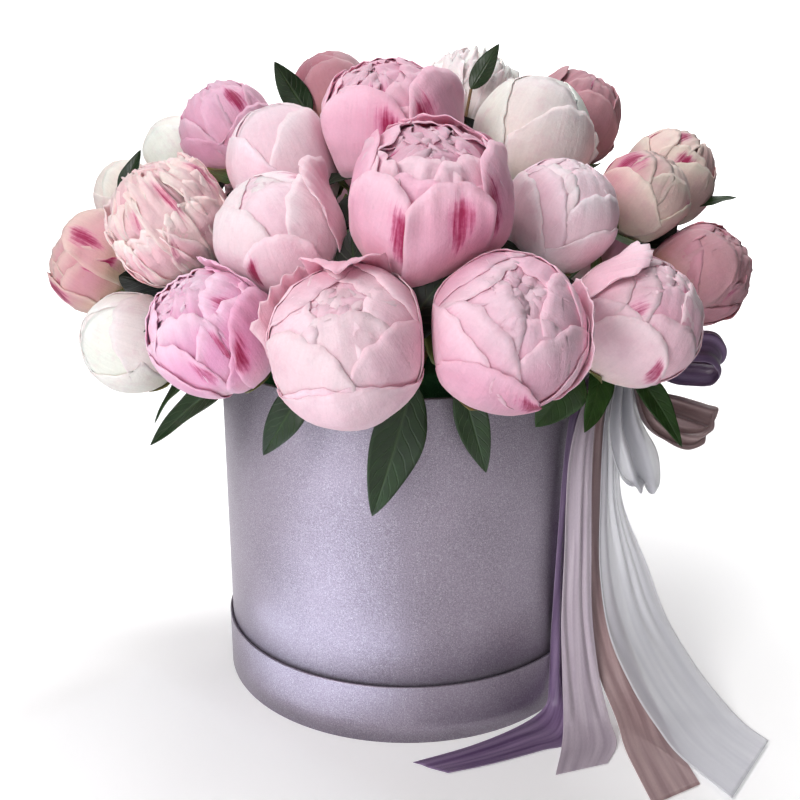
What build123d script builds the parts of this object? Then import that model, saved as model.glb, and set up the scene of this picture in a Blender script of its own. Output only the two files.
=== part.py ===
from build123d import *
from math import cos, radians, sin, sqrt
import os

# Peony hat box: a round board box stands in its own upturned lid and holds wet floral foam
# with a dome of peonies. A bow of four ribbons is wired to a pick in the foam.
# Millimetres. Origin: centre of the resting face of the lid. +Z is up, -Y is the front.

# ---- driving dimensions ----
BOX_RADIUS = 110.0            # outside of the covered wall
BOX_TOP = 195.0               # height of the rim over the table
WALL_BOARD = 2.0
COVER_PAPER = 0.25            # covering paper of the box
LINING_PAPER = 0.25
LINING_TOP = 170.0            # the covering paper turns in from here up

LID_GAP = 0.4                 # between the box and the turned-in paper of the lid
LID_PAPER = 0.2
LID_RIM_BOARD = 1.0
LID_TOP_BOARD = 2.0
LID_HEIGHT = 34.0
LID_TURN_IN = 14.0            # depth of the turned-in paper below the lid's edge
REST_GAP = 0.3                # between the lid board and the underside of the box

FILM_GAP = 0.3
FILM = 0.25
FILM_TOP = 188.0

FOAM_TOP = 222.0
BRICK_LENGTH = 110.0          # along Y
BRICK_WIDTH = 80.0            # along X
WEDGE_TOP = 205.0
WEDGE_DEPTH = 40.0
WEDGE_WIDTH = 90.0

STEM_RADIUS = 2.75
AIM_HEIGHT = 140.0            # the stems aim at this height on the box's axis
STEM_INNER_END = 41.0         # from the aim point to the cut end of a stem
LOW_STEM_INNER_END = 64.0     # the same for a low bloom, whose stem lies flatter
RIM_CLEARANCE = 8.0           # of a stem's centre line over the rim
BLOOM_SOLID = 0.88            # plain solid over the diameter across the open petals
CALYX_CUT = 0.93              # the solid is cut flat here, where the stem joins

LEAF_THICKNESS = 0.8
PETIOLE_RADIUS = 1.2
PETIOLE_END_REACH = 60.0
PETIOLE_DROP = 12.0

RIBBON_THICKNESS = 0.8
KNOT_CENTRE = Vector(116, -48, 203)
KNOT_RADIUS = 11.0
PICK_RADIUS = 1.5
PICK_END = Vector(54, -22.5, 190)
WIRE_RADIUS = 0.5
WIRE_TURNS = 4

# ---- blooms: azimuth in degrees from +X, reach from the axis, height, diameter ----
LOWER_ROW = [
    (-99.5, 152, 231, 72),
    (-73, 153, 236, 73),
    (-41.5, 151, 233, 65),
    (-128, 150, 230, 63),
    (-157, 160, 213, 55),
    (-177.5, 180, 246, 53),
    (-10.5, 166, 246, 56),
    (17, 158, 238, 64),
    (44, 152, 230, 71),
    (71, 155, 228, 70),
    (99, 152, 233, 73),
    (127, 155, 229, 70),
    (154, 152, 234, 64),
]
SHOULDER_ROW = [
    (-44, 108, 282, 58),
    (-84.5, 113, 291, 73),
    (-123, 114, 273, 65),
    (-157, 135, 276, 66),
    (-9.5, 133, 287, 51),
    (11, 161, 295, 56),
    (50, 118, 284, 64),
    (80, 110, 286, 66),
    (109, 116, 282, 60),
    (138, 117, 285, 60),
    (160, 151, 309, 45),
    (166.5, 177, 284, 43),
]
CROWN = [
    (-150, 76, 306, 63),
    (168, 107, 322, 57),
    (-102.5, 46, 324, 70),
    (-6.5, 71, 319, 68),
    (27, 115, 329, 60),
    (52, 64, 340, 59),
    (146.5, 54, 343, 50),
    (99, 78, 329, 66),
    (67, 13, 327, 54),
]
BLOOMS = LOWER_ROW + SHOULDER_ROW + CROWN

# ---- leaves: blade base, blade tip, width, direction that the face looks ----
LEAVES = {
    "leaves_front": [
        ((-46, -119, 206), (-71, -118, 168), 18, (0, -1, 0.3)),
        ((2, -122, 208), (-17, -119, 136), 27, (0.2, -1, 0.1)),
        ((25, -121, 207), (40, -118, 159), 17, (0, -1, 0.2)),
    ],
    "leaves_left": [
        ((-84, -93, 205), (-134, -90, 164), 20, (-0.4, -0.6, 0.7)),
        ((-108, -68, 203), (-139, -62, 168), 14, (-0.7, -0.3, 0.5)),
    ],
    "leaves_right": [
        ((86, -92, 208), (66, -102, 178), 26, (0.4, -1, 0.4)),
        ((104, -76, 206), (92, -98, 174), 20, (0.6, -0.8, 0.2)),
        ((117, -73, 207), (148, -79, 160), 15, (0.3, -1, 0.5)),
    ],
    "leaves_back": [
        ((112, 55, 205), (128, 70, 158), 22, (0.8, 0.5, 0.2)),
        ((28, 120, 206), (40, 124, 150), 25, (0.1, 1, 0.1)),
        ((-50, 112, 206), (-66, 122, 162), 20, (-0.3, 1, 0.2)),
        ((-118, 40, 205), (-142, 52, 166), 20, (-0.9, 0.4, 0.4)),
    ],
    "leaves_crown": [
        ((-54, 2, 331), (-74, 0, 360), 17, (0, -1, 0.3)),
        ((38, 12, 345), (52, 8, 370), 12, (0.2, -1, 0.5)),
        ((172, 10, 279), (195, 14, 285), 9, (0, -0.4, 1)),
        ((-168, 8, 282), (-156, 14, 312), 12, (-0.3, -1, 0.2)),
        ((17, -136, 257), (44, -118, 268), 12, (-0.45, 0.45, 0.75)),
    ],
}

# ---- ribbons: pairs of edge points along each loop or tail ----
PURPLE_LOOP = [
    ((124, -51, 204), (126, -45, 209)), ((146, -54, 201), (150, -43, 212)),
    ((158, -54, 201), (164, -38, 215)), ((168, -50, 199), (175, -34, 213)),
    ((175, -44, 191), (182, -29, 205)), ((173, -39, 184), (181, -25, 197)),
    ((163, -37, 183), (171, -23, 198)), ((149, -40, 186), (155, -27, 199)),
    ((127, -46, 199), (128, -43, 203)),
]
PURPLE_BACK_LOOP = [
    ((120, -40, 207), (125, -41, 204)),
    ((124, -20, 206), (142, -16, 195)),
    ((124, 2, 204), (143, 8, 192)),
    ((121, 7, 194), (140, 13, 182)),
    ((117, -6, 191), (134, -1, 178)),
    ((116, -24, 196), (127, -22, 187)),
    ((117, -39, 201), (122, -39, 197)),
]
PURPLE_TAIL = [
    ((106, -50, 199), (108, -54, 194)),
    ((91, -68, 180), (98, -63, 178)),
    ((86, -74, 150), (95, -64, 150)),
    ((84, -76, 100), (93, -65, 100)),
    ((84, -76, 50), (94, -66, 50)),
    ((83, -78, 22), (96, -72, 22)),
    ((81, -81, 6), (97, -86, 9)),
    ((74, -87, 0.8), (90, -111, 0.8)),
    ((58, -101, 0.8), (74, -119, 0.8)),
    ((34, -116, 0.8), (46, -131, 0.8)),
    ((4, -130, 0.8), (22, -139, 0.8)),
]
LILAC_TAIL = [
    ((105, -56, 198), (110, -57, 195)), ((93, -73, 178), (103, -70, 178)),
    ((87, -79, 150), (101, -75, 150)), ((87, -80, 100), (103, -76, 100)),
    ((87, -82, 60), (105, -78, 60)), ((88, -90, 27), (109, -87, 27)),
    ((87, -105, 9), (113, -100, 9)), ((84, -119, 1.6), (115, -114, 1.6)),
    ((78, -140, 0.8), (107, -130, 0.8)),
]
LILAC_LOOP = [
    ((111, -40, 206), (115, -38, 207)),
    ((113, -18, 207), (121, -5, 207)),
    ((113, 0, 202), (122, 16, 202)),
    ((113, 4, 192), (122, 20, 192)),
    ((113, -10, 184), (118, 0, 182)),
    ((112, -38, 199), (114, -38, 196)),
]
ROSE_LOOP = [
    ((123, -56, 194), (126, -54, 198)), ((131, -66, 169), (136, -60, 174)),
    ((143, -69, 159), (153, -58, 165)), ((155, -66, 154), (170, -50, 163)),
    ((167, -55, 155), (178, -42, 170)), ((162, -45, 157), (172, -38, 172)),
    ((149, -43, 162), (158, -36, 176)), ((135, -46, 173), (140, -42, 182)),
    ((121, -51, 190), (123, -49, 193)),
]
ROSE_BACK_LOOP = [
    ((117, -40, 196), (122, -42, 195)),
    ((121, -16, 180), (137, -20, 187)),
    ((122, 4, 165), (142, 2, 174)),
    ((120, 0, 153), (139, -2, 161)),
    ((117, -16, 160), (131, -21, 165)),
    ((114, -42, 193), (119, -43, 192)),
]
ROSE_TAIL = [
    ((112, -54, 194), (117, -53, 193)), ((103, -64, 172), (111, -60, 172)),
    ((101, -65, 140), (113, -60, 140)), ((101, -66, 100), (115, -60, 100)),
    ((104, -71, 62), (121, -64, 62)), ((109, -81, 28), (134, -76, 26)),
    ((117, -101, 8), (143, -92, 8)), ((119, -121, 0.8), (147, -109, 0.8)),
    ((123, -163, 0.8), (151, -147, 0.8)),
]
ORGANZA_LOOP = [
    ((115, -61, 198), (121, -59, 199)), ((109, -74, 172), (126, -70, 174)),
    ((111, -79, 155), (136, -71, 156)), ((118, -76, 140), (141, -65, 139)),
    ((127, -65, 131), (142, -58, 130)), ((126, -56, 138), (140, -50, 137)),
    ((119, -56, 160), (132, -50, 162)), ((118, -52, 182), (124, -49, 184)),
    ((120, -47, 193), (123, -46, 194)),
]
ORGANZA_TAIL = [
    ((111, -61, 190), (118, -58, 190)), ((107, -68, 165), (118, -63, 165)),
    ((107, -71, 125), (121, -64, 125)), ((109, -73, 84), (138, -59, 84)),
    ((115, -78, 48), (153, -58, 48)), ((127, -92, 22), (170, -68, 21)),
    ((138, -110, 8), (184, -84, 6)), ((146, -128, 3), (191, -98, 2.4)),
    ((163, -160, 2.4), (198, -112, 2.4)),
]
RIBBONS = {
    "ribbon_purple": [PURPLE_LOOP, PURPLE_BACK_LOOP, PURPLE_TAIL],
    "ribbon_lilac": [LILAC_LOOP, LILAC_TAIL],
    "ribbon_rose": [ROSE_LOOP, ROSE_BACK_LOOP, ROSE_TAIL],
    "ribbon_organza": [ORGANZA_LOOP, ORGANZA_TAIL],
}


# ---- plain shapes ----
def disc(radius, z_low, z_high):
    return extrude(Plane.XY.offset(z_low) * Circle(radius), z_high - z_low)


def ring(outer, inner, z_low, z_high):
    sketch = Plane.XY.offset(z_low) * (Circle(outer) - Circle(inner))
    return extrude(sketch, z_high - z_low)


def block(x_low, x_high, y_low, y_high, z_low, z_high):
    centre = Pos((x_low + x_high) / 2, (y_low + y_high) / 2, (z_low + z_high) / 2)
    return centre * Box(x_high - x_low, y_high - y_low, z_high - z_low)


def rod(start, end, radius):
    return extrude(Plane(start, z_dir=end - start) * Circle(radius), (end - start).length)


# ---- the lid, used upside down as a tray ----
def lid_pieces():
    inner = BOX_RADIUS + LID_GAP
    board_inner = inner + LID_PAPER
    board_outer = board_inner + LID_RIM_BOARD
    outer = board_outer + LID_PAPER
    edge = LID_HEIGHT - LID_PAPER
    side_paper = ring(outer, board_outer, 0, LID_HEIGHT)
    side_paper += ring(board_outer, inner, edge, LID_HEIGHT)
    side_paper += ring(board_inner, inner, LID_HEIGHT - LID_TURN_IN, edge)
    return {
        "lid_top_paper": disc(board_outer, 0, LID_PAPER),
        "lid_top_board": disc(board_inner, LID_PAPER, LID_PAPER + LID_TOP_BOARD),
        "lid_rim_board": ring(board_outer, board_inner, LID_PAPER, edge),
        "lid_side_paper": side_paper,
    }


# ---- the box and its linings ----
def box_pieces():
    wall_outer = BOX_RADIUS - COVER_PAPER
    wall_inner = wall_outer - WALL_BOARD
    lining_inner = wall_inner - LINING_PAPER
    underside = LID_PAPER + LID_TOP_BOARD + REST_GAP
    floor_low = underside + COVER_PAPER
    floor_top = floor_low + WALL_BOARD
    wall_top = BOX_TOP - COVER_PAPER
    side_paper = ring(BOX_RADIUS, wall_outer, underside, BOX_TOP)
    side_paper += ring(wall_outer, lining_inner, wall_top, BOX_TOP)
    side_paper += ring(wall_inner, lining_inner, LINING_TOP, wall_top)
    film_outer = lining_inner - FILM_GAP
    film = disc(film_outer, floor_top, floor_top + FILM)
    film += ring(film_outer, film_outer - FILM, floor_top + FILM, FILM_TOP)
    return {
        "box_floor_paper": disc(wall_outer, underside, floor_low),
        "box_floor": disc(wall_inner, floor_low, floor_top),
        "box_tube": ring(wall_outer, wall_inner, floor_low, wall_top),
        "box_side_paper": side_paper,
        "box_lining": ring(wall_inner, lining_inner, floor_top, LINING_TOP),
        "film_liner": film,
    }


# ---- the wet foam: two bricks side by side and a wedge in front of and behind them ----
def foam_pieces():
    base = LID_PAPER + LID_TOP_BOARD + REST_GAP + COVER_PAPER + WALL_BOARD + FILM
    half_length = BRICK_LENGTH / 2
    half_wedge = WEDGE_WIDTH / 2
    wedge_end = half_length + WEDGE_DEPTH
    return {
        "foam_brick_left": block(-BRICK_WIDTH, 0, -half_length, half_length, base, FOAM_TOP),
        "foam_brick_right": block(0, BRICK_WIDTH, -half_length, half_length, base, FOAM_TOP),
        "foam_wedge_front": block(-half_wedge, half_wedge, -wedge_end, -half_length, base, WEDGE_TOP),
        "foam_wedge_back": block(-half_wedge, half_wedge, half_length, wedge_end, base, WEDGE_TOP),
    }


# ---- a peony: a ball of petals cut flat at the calyx, and its straight stem ----
def peony(azimuth, reach, height, diameter):
    centre = Vector(reach * cos(radians(azimuth)), reach * sin(radians(azimuth)), height)
    aim_height = AIM_HEIGHT
    inner_end = STEM_INNER_END
    if reach > BOX_RADIUS:
        share = BOX_RADIUS / reach
        lowest_aim = (BOX_TOP + RIM_CLEARANCE - height * share) / (1 - share)
        if lowest_aim > AIM_HEIGHT:
            aim_height = lowest_aim
            inner_end = LOW_STEM_INNER_END
    aim = Vector(0, 0, aim_height)
    outward = (centre - aim).normalized()
    radius = BLOOM_SOLID * diameter / 2
    calyx_drop = CALYX_CUT * radius
    cut_radius = sqrt(radius**2 - calyx_drop**2)
    profile = Plane.XZ * make_face(
        Polyline((0, radius), (0, -calyx_drop), (cut_radius, -calyx_drop))
        + ThreePointArc((cut_radius, -calyx_drop), (radius, 0), (0, radius))
    )
    bloom = Plane(centre, z_dir=outward) * revolve(profile, Axis.Z)
    stem = rod(aim + outward * inner_end, centre - outward * calyx_drop, STEM_RADIUS)
    return Compound(children=[bloom.solid(), stem.solid()])


# ---- a leaf: a lens-shaped blade and the petiole that holds it in the foam ----
def leaf(base, tip, width, facing):
    base = Vector(*base)
    along = Vector(*tip) - base
    length = along.length
    plane = Plane(base, x_dir=along, z_dir=Vector(*facing).cross(along).cross(along) * -1)
    half = width / 2
    heel = PETIOLE_RADIUS
    outline = ThreePointArc((0, heel), (length * 0.42, half), (length, 0))
    outline += ThreePointArc((length, 0), (length * 0.42, -half), (0, -heel))
    outline += Line((0, -heel), (0, heel))
    blade = plane * extrude(make_face(outline), LEAF_THICKNESS / 2, both=True)
    if base.Z > FOAM_TOP:
        aim = Vector(0, 0, AIM_HEIGHT)
        foot = aim + (base - aim).normalized() * PETIOLE_END_REACH
    else:
        shrink = PETIOLE_END_REACH / sqrt(base.X**2 + base.Y**2)
        foot = Vector(base.X * shrink, base.Y * shrink, base.Z - PETIOLE_DROP)
    petiole = rod(foot, base - (base - foot).normalized() * LEAF_THICKNESS, PETIOLE_RADIUS)
    return [blade.solid(), petiole.solid()]


# ---- a length of ribbon through pairs of edge points ----
def ribbon_sections(edge_pairs):
    lefts = [Vector(*left) for left, right in edge_pairs]
    rights = [Vector(*right) for left, right in edge_pairs]
    last = len(edge_pairs) - 1
    sections = []
    for index in range(last + 1):
        before = max(index - 1, 0)
        after = min(index + 1, last)
        along = lefts[after] + rights[after] - lefts[before] - rights[before]
        across = rights[index] - lefts[index]
        up = along.cross(across).normalized() * (RIBBON_THICKNESS / 2)
        sections.append([lefts[index] + up, rights[index] + up, rights[index] - up, lefts[index] - up])
    return sections


def ribbon(edge_pairs):
    sections = ribbon_sections(edge_pairs)
    polygons = [sections[0], sections[-1]]
    for here, there in zip(sections, sections[1:]):
        for corner in range(4):
            following = (corner + 1) % 4
            polygons.append([here[corner], here[following], there[corner]])
            polygons.append([here[following], there[following], there[corner]])
    faces = [Face(Wire.make_polygon(points, close=True)) for points in polygons]
    return Solid(Shell(faces))


# ---- the bow's knot, pick and binding wire ----
def bow_pieces():
    outward = (KNOT_CENTRE - PICK_END).normalized()
    knot = Pos(*KNOT_CENTRE) * Sphere(KNOT_RADIUS)
    pick_start = KNOT_CENTRE - outward * (KNOT_RADIUS - 3)
    pick = rod(PICK_END, pick_start, PICK_RADIUS)
    turns = []
    for turn in range(WIRE_TURNS):
        distance = KNOT_RADIUS + 1 + turn * 3 * WIRE_RADIUS
        place = Plane(KNOT_CENTRE - outward * distance, z_dir=outward)
        turns.append((place * Torus(PICK_RADIUS + WIRE_RADIUS + 0.1, WIRE_RADIUS)).solid())
    return {
        "bow_knot": knot,
        "bow_pick": pick,
        "bow_wire": Compound(children=turns),
    }


nodes = {}
nodes.update(lid_pieces())
nodes.update(box_pieces())
nodes.update(foam_pieces())
for number, place in enumerate(BLOOMS, start=1):
    nodes[f"peony_{number:02d}"] = peony(*place)
for name, leaves in LEAVES.items():
    solids = []
    for shape in leaves:
        solids += leaf(*shape)
    nodes[name] = Compound(children=solids)
for name, lengths in RIBBONS.items():
    nodes[name] = Compound(children=[ribbon(pairs) for pairs in lengths])
nodes.update(bow_pieces())

os.makedirs("parts", exist_ok=True)
for name, shape in nodes.items():
    export_step(shape, f"parts/{name}.step")
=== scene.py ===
from itertools import combinations
import math

import bmesh
import bpy
import numpy as np
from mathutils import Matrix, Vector


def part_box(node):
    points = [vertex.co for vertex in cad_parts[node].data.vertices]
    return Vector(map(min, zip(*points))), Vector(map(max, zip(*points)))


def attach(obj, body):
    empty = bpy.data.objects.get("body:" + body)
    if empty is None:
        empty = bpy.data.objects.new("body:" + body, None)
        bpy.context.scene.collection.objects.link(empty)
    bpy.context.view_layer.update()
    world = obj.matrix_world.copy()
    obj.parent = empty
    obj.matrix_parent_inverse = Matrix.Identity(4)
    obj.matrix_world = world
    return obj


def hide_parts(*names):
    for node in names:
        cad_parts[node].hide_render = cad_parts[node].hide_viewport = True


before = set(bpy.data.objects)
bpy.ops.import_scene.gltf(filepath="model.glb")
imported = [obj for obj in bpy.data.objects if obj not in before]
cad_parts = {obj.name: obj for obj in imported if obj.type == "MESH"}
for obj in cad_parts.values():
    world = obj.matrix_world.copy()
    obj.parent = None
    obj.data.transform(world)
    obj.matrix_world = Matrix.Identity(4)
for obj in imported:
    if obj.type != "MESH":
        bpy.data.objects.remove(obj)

# The looks of the flower box, in metres, around the frame of its CAD model.
MM = 0.001
TAU = 2 * math.pi
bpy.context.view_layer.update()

BLOOM_SOLID = 0.88                   # a CAD bloom over the diameter across the open petals
FULLNESS = 1.035                     # the petals swell a little until the blooms press on each other
PETAL_THICKNESS = 0.45 * MM
SEPAL_THICKNESS = 0.5 * MM
LEAF_THICKNESS = 0.4 * MM
RIBBON_THICKNESS = 0.3 * MM
BAND_THICKNESS = 0.5 * MM
LAP_THICKNESS = 0.12 * MM
FILM_TO_PAPER = 0.3 * MM             # from the film to the paper turned in over the rim
BOX_PAPER, BOX_EDGE = 0.25 * MM, 0.9 * MM      # thickness, and radius of the folded edge
LID_PAPER, LID_EDGE = 0.2 * MM, 0.55 * MM
LID_TURN_IN = 14 * MM
TURNED_STEPS = 224                   # points round a turned shape
FOAM_CELL, FOAM_CORNER = 5 * MM, 3.5 * MM
STEM_AIM = np.array([0.0, 0.0, 140 * MM])      # the point on the axis that the stems aim at
GAP_REACH = 26 * MM                  # blooms no further apart than this share a gap leaf
FOLD_LIMIT = 4.5 * MM                # deepest fold of a ribbon
TABLE_CLEARANCE = 0.45 * MM
LEAST_SHARE = 0.74                   # of a ribbon's flat area that its folded sheet has to show


# ---- small helpers ----
def srgb(red, green, blue):
    """A colour given as 0 to 255 display values, as linear light."""
    values = np.array([red, green, blue]) / 255.0
    return np.where(values <= 0.04045, values / 12.92, ((values + 0.055) / 1.055) ** 2.4)


def smooth_step(low, high, value):
    """Rises smoothly from 0 at low to 1 at high."""
    share = np.clip((value - low) / (high - low), 0, 1)
    return share * share * (3 - 2 * share)


def unit(vector):
    """The vector at length 1."""
    vector = np.asarray(vector, float)
    return vector / max(np.linalg.norm(vector), 1e-12)


def waves(rng, count=6, scale=1.0):
    """A smooth random function of position: a sum of a few random sines, about -1 to 1."""
    turns = rng.normal(0, scale, (count, 3))
    phases = rng.uniform(0, TAU, count)
    return lambda points: np.sin(points @ turns.T + phases).sum(-1) / math.sqrt(count) * 0.9


def make_mesh(name, points, faces, material, uv=None, tint=None, flare=None, smooth=True):
    """A mesh object, with the UVs, colours and flames of its points if it has any."""
    mesh = bpy.data.meshes.new(name)
    mesh.from_pydata(np.asarray(points, float).tolist(), [], [list(face) for face in faces])
    mesh.update()
    if uv is not None:
        layer = mesh.uv_layers.new(name="petal")
        corner_vertices = np.zeros(len(mesh.loops), np.int32)
        mesh.loops.foreach_get("vertex_index", corner_vertices)
        layer.data.foreach_set("uv", np.asarray(uv, np.float32)[corner_vertices].ravel())
    if tint is not None:
        colours = np.ones((len(points), 4), np.float32)
        colours[:, :3] = tint
        store = mesh.color_attributes.new("tint", "FLOAT_COLOR", "POINT")
        store.data.foreach_set("color", colours.ravel())
    if flare is not None:
        store = mesh.attributes.new("flare", "FLOAT", "POINT")
        store.data.foreach_set("value", np.asarray(flare, np.float32))
    mesh.polygons.foreach_set("use_smooth", [smooth] * len(mesh.polygons))
    mesh.materials.append(material)
    piece = bpy.data.objects.new(name, mesh)
    bpy.context.scene.collection.objects.link(piece)
    return piece


def grid_faces(rows, columns, start=0, wrap=False):
    """Faces of a grid of points whose first index is start; wrap joins the last column to the first."""
    faces = []
    for row in range(rows - 1):
        for column in range(columns if wrap else columns - 1):
            following = (column + 1) % columns
            a = start + row * columns + column
            b = start + row * columns + following
            faces.append((a, b, b + columns, a + columns))
    return faces


def grid_normals(points):
    """Unit normals of a rows x columns grid of points."""
    along = np.gradient(points, axis=0)
    across = np.gradient(points, axis=1)
    normals = np.cross(across, along)
    return normals / np.maximum(np.linalg.norm(normals, axis=2, keepdims=True), 1e-12)


def grid_uv(across, along):
    """UVs of a grid from its row of values across and its column of values along."""
    return np.stack(np.broadcast_arrays(across, along), -1)


class Patches:
    """Thin closed sheets gathered into one mesh."""

    def __init__(self):
        self.points, self.faces, self.uv, self.tint, self.flare = [], [], [], [], []
        self.count = 0

    def add(self, points, thickness, uv, tint, flare=None):
        """points is a rows x columns grid; the sheet gets its thickness on the side against the normals."""
        rows, columns = points.shape[:2]
        flare = np.zeros((rows, columns)) if flare is None else flare
        inner = points - grid_normals(points) * thickness
        size = rows * columns
        start = self.count
        self.faces += grid_faces(rows, columns, start)
        self.faces += [tuple(reversed(f)) for f in grid_faces(rows, columns, start + size)]
        border = [(0, c) for c in range(columns)] + [(r, columns - 1) for r in range(1, rows)]
        border += [(rows - 1, c) for c in range(columns - 2, -1, -1)]
        border += [(r, 0) for r in range(rows - 2, 0, -1)]
        loop = [start + r * columns + c for r, c in border]
        for here, there in zip(loop, loop[1:] + loop[:1]):
            self.faces.append((there, here, here + size, there + size))
        self.points += [points.reshape(-1, 3), inner.reshape(-1, 3)]
        for store, values in ((self.uv, uv), (self.tint, tint), (self.flare, flare)):
            flat = values.reshape(size, -1)
            store += [flat, flat]
        self.count += 2 * size

    def build(self, name, material, move=None):
        points = np.concatenate(self.points)
        if move:
            points = move(points)
        return make_mesh(name, points, self.faces, material, np.concatenate(self.uv),
                         np.concatenate(self.tint), np.concatenate(self.flare).ravel())


def one_sheet(name, points, thickness, uv, tint, material):
    """A thin closed sheet as a piece of its own."""
    patches = Patches()
    patches.add(points, thickness, uv, tint)
    return patches.build(name, material)


def finish_piece(piece, body, slot, *nodes):
    """Gives a piece its body and hides the CAD nodes that it stands for; slot is not used."""
    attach(piece, body)
    if nodes:
        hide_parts(*nodes)
    return piece


# ---- materials ----
class Material:
    """A material being built: a Principled shader and the nodes that feed it."""

    def __init__(self, name, roughness, specular=0.5, metallic=0.0):
        self.material = bpy.data.materials.new(name)
        self.material.use_nodes = True
        self.tree = self.material.node_tree
        self.shader = self.tree.nodes["Principled BSDF"]
        self.set("Roughness", roughness)
        self.set("Specular IOR Level", specular)
        self.set("Metallic", metallic)

    def set(self, socket, value):
        self.shader.inputs[socket].default_value = value

    def node(self, kind, inputs=None, **settings):
        made = self.tree.nodes.new(kind)
        for key, value in settings.items():
            setattr(made, key, value)
        for key, value in (inputs or {}).items():
            if isinstance(value, bpy.types.NodeSocket):
                self.tree.links.new(value, made.inputs[key])
            else:
                made.inputs[key].default_value = value
        return made

    def math(self, operation, first, second=0.0, clamp=False):
        made = self.node("ShaderNodeMath", {0: first, 1: second}, operation=operation, use_clamp=clamp)
        return made.outputs[0]

    def times(self, first, second, clamp=False):
        return self.math("MULTIPLY", first, second, clamp)

    def plus(self, first, second, clamp=False):
        return self.math("ADD", first, second, clamp)

    def minus(self, first, second):
        return self.math("SUBTRACT", first, second)

    def place(self):
        return self.node("ShaderNodeTexCoord").outputs["Object"]

    def uv(self):
        return self.node("ShaderNodeUVMap", uv_map="petal").outputs[0]

    def tint(self):
        return self.node("ShaderNodeAttribute", attribute_name="tint").outputs["Color"]

    def vector(self, source, scale):
        return self.node("ShaderNodeMapping", {"Vector": source, "Scale": scale}).outputs[0]

    def noise(self, vector, scale, detail=2.0, roughness=0.5):
        inputs = {"Vector": vector, "Scale": scale, "Detail": detail, "Roughness": roughness}
        return self.node("ShaderNodeTexNoise", inputs).outputs["Fac"]

    def range(self, value, new_low=0.0, new_high=1.0, low=0.3, high=0.7):
        """Spreads the values between low and high, where a noise mostly lies, over the new range."""
        inputs = {0: value, 1: low, 2: high, 3: new_low, 4: new_high}
        return self.node("ShaderNodeMapRange", inputs).outputs[0]

    def mix(self, share, first, second, blend="MIX"):
        made = self.node("ShaderNodeMix", data_type="RGBA", blend_type=blend)
        for index, value in ((0, share), (6, first), (7, second)):
            if isinstance(value, bpy.types.NodeSocket):
                self.tree.links.new(value, made.inputs[index])
            elif index == 0:
                made.inputs[index].default_value = value
            else:
                made.inputs[index].default_value = (*value, 1.0)
        return made.outputs[2]

    def grey(self, value):
        return self.node("ShaderNodeCombineColor", {0: value, 1: value, 2: value}).outputs[0]

    def feed(self, socket, value):
        self.tree.links.new(value, self.shader.inputs[socket])

    def bump(self, height, distance, strength=1.0):
        made = self.node("ShaderNodeBump", {"Height": height, "Distance": distance, "Strength": strength})
        self.feed("Normal", made.outputs[0])


def petal_material():
    """Soft petal skin: fine veins, slow changes of hue, and crimson flames where flare is high."""
    m = Material("petal", roughness=0.6, specular=0.22)
    m.set("Subsurface Weight", 0.2)
    m.set("Subsurface Radius", (1.0, 0.42, 0.42))
    m.set("Subsurface Scale", 0.003)
    m.set("Sheen Weight", 0.15)
    m.set("Sheen Roughness", 0.5)
    tint = m.tint()
    flare = m.node("ShaderNodeAttribute", attribute_name="flare").outputs["Fac"]
    uv = m.uv()
    place = m.place()
    veins = m.noise(m.vector(uv, (38, 2.0, 1)), 1.0, 3.0, 0.6)
    cloud = m.noise(m.vector(uv, (2.6, 1.8, 1)), 1.0, 3.0)
    streak = m.noise(m.vector(uv, (30, 1.6, 1)), 1.0, 4.0, 0.7)
    crumple = m.noise(place, 130.0, 4.0, 0.62)
    fine = m.noise(place, 900.0, 2.0)
    shade = m.times(m.range(veins, 0.965, 1.02), m.range(cloud, 0.93, 1.04))
    shade = m.times(shade, m.range(fine, 0.975, 1.02))
    colour = m.mix(1.0, tint, m.grey(shade), "MULTIPLY")
    colour = m.mix(m.range(crumple, 0.0, 0.22, 0.5, 0.75), colour, srgb(214, 140, 172))
    spots = m.noise(place, 420.0, 3.0, 0.6)
    spread = m.plus(m.range(streak, 0.0, 0.72, 0.25, 0.75), m.times(spots, 0.25))
    excess = m.minus(m.times(flare, 1.1), spread)
    blush = m.times(excess, 1.8, clamp=True)
    deep = m.times(m.minus(excess, 0.2), 2.4, clamp=True)
    colour = m.mix(m.times(blush, 0.7), colour, srgb(222, 96, 158))
    colour = m.mix(m.times(deep, 0.92), colour, srgb(152, 18, 72))
    m.feed("Base Color", colour)
    height = m.plus(m.times(veins, 0.35), m.times(cloud, 0.9))
    m.bump(m.plus(height, m.times(crumple, 1.4)), 0.0009, 0.6)
    return m.material


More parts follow.
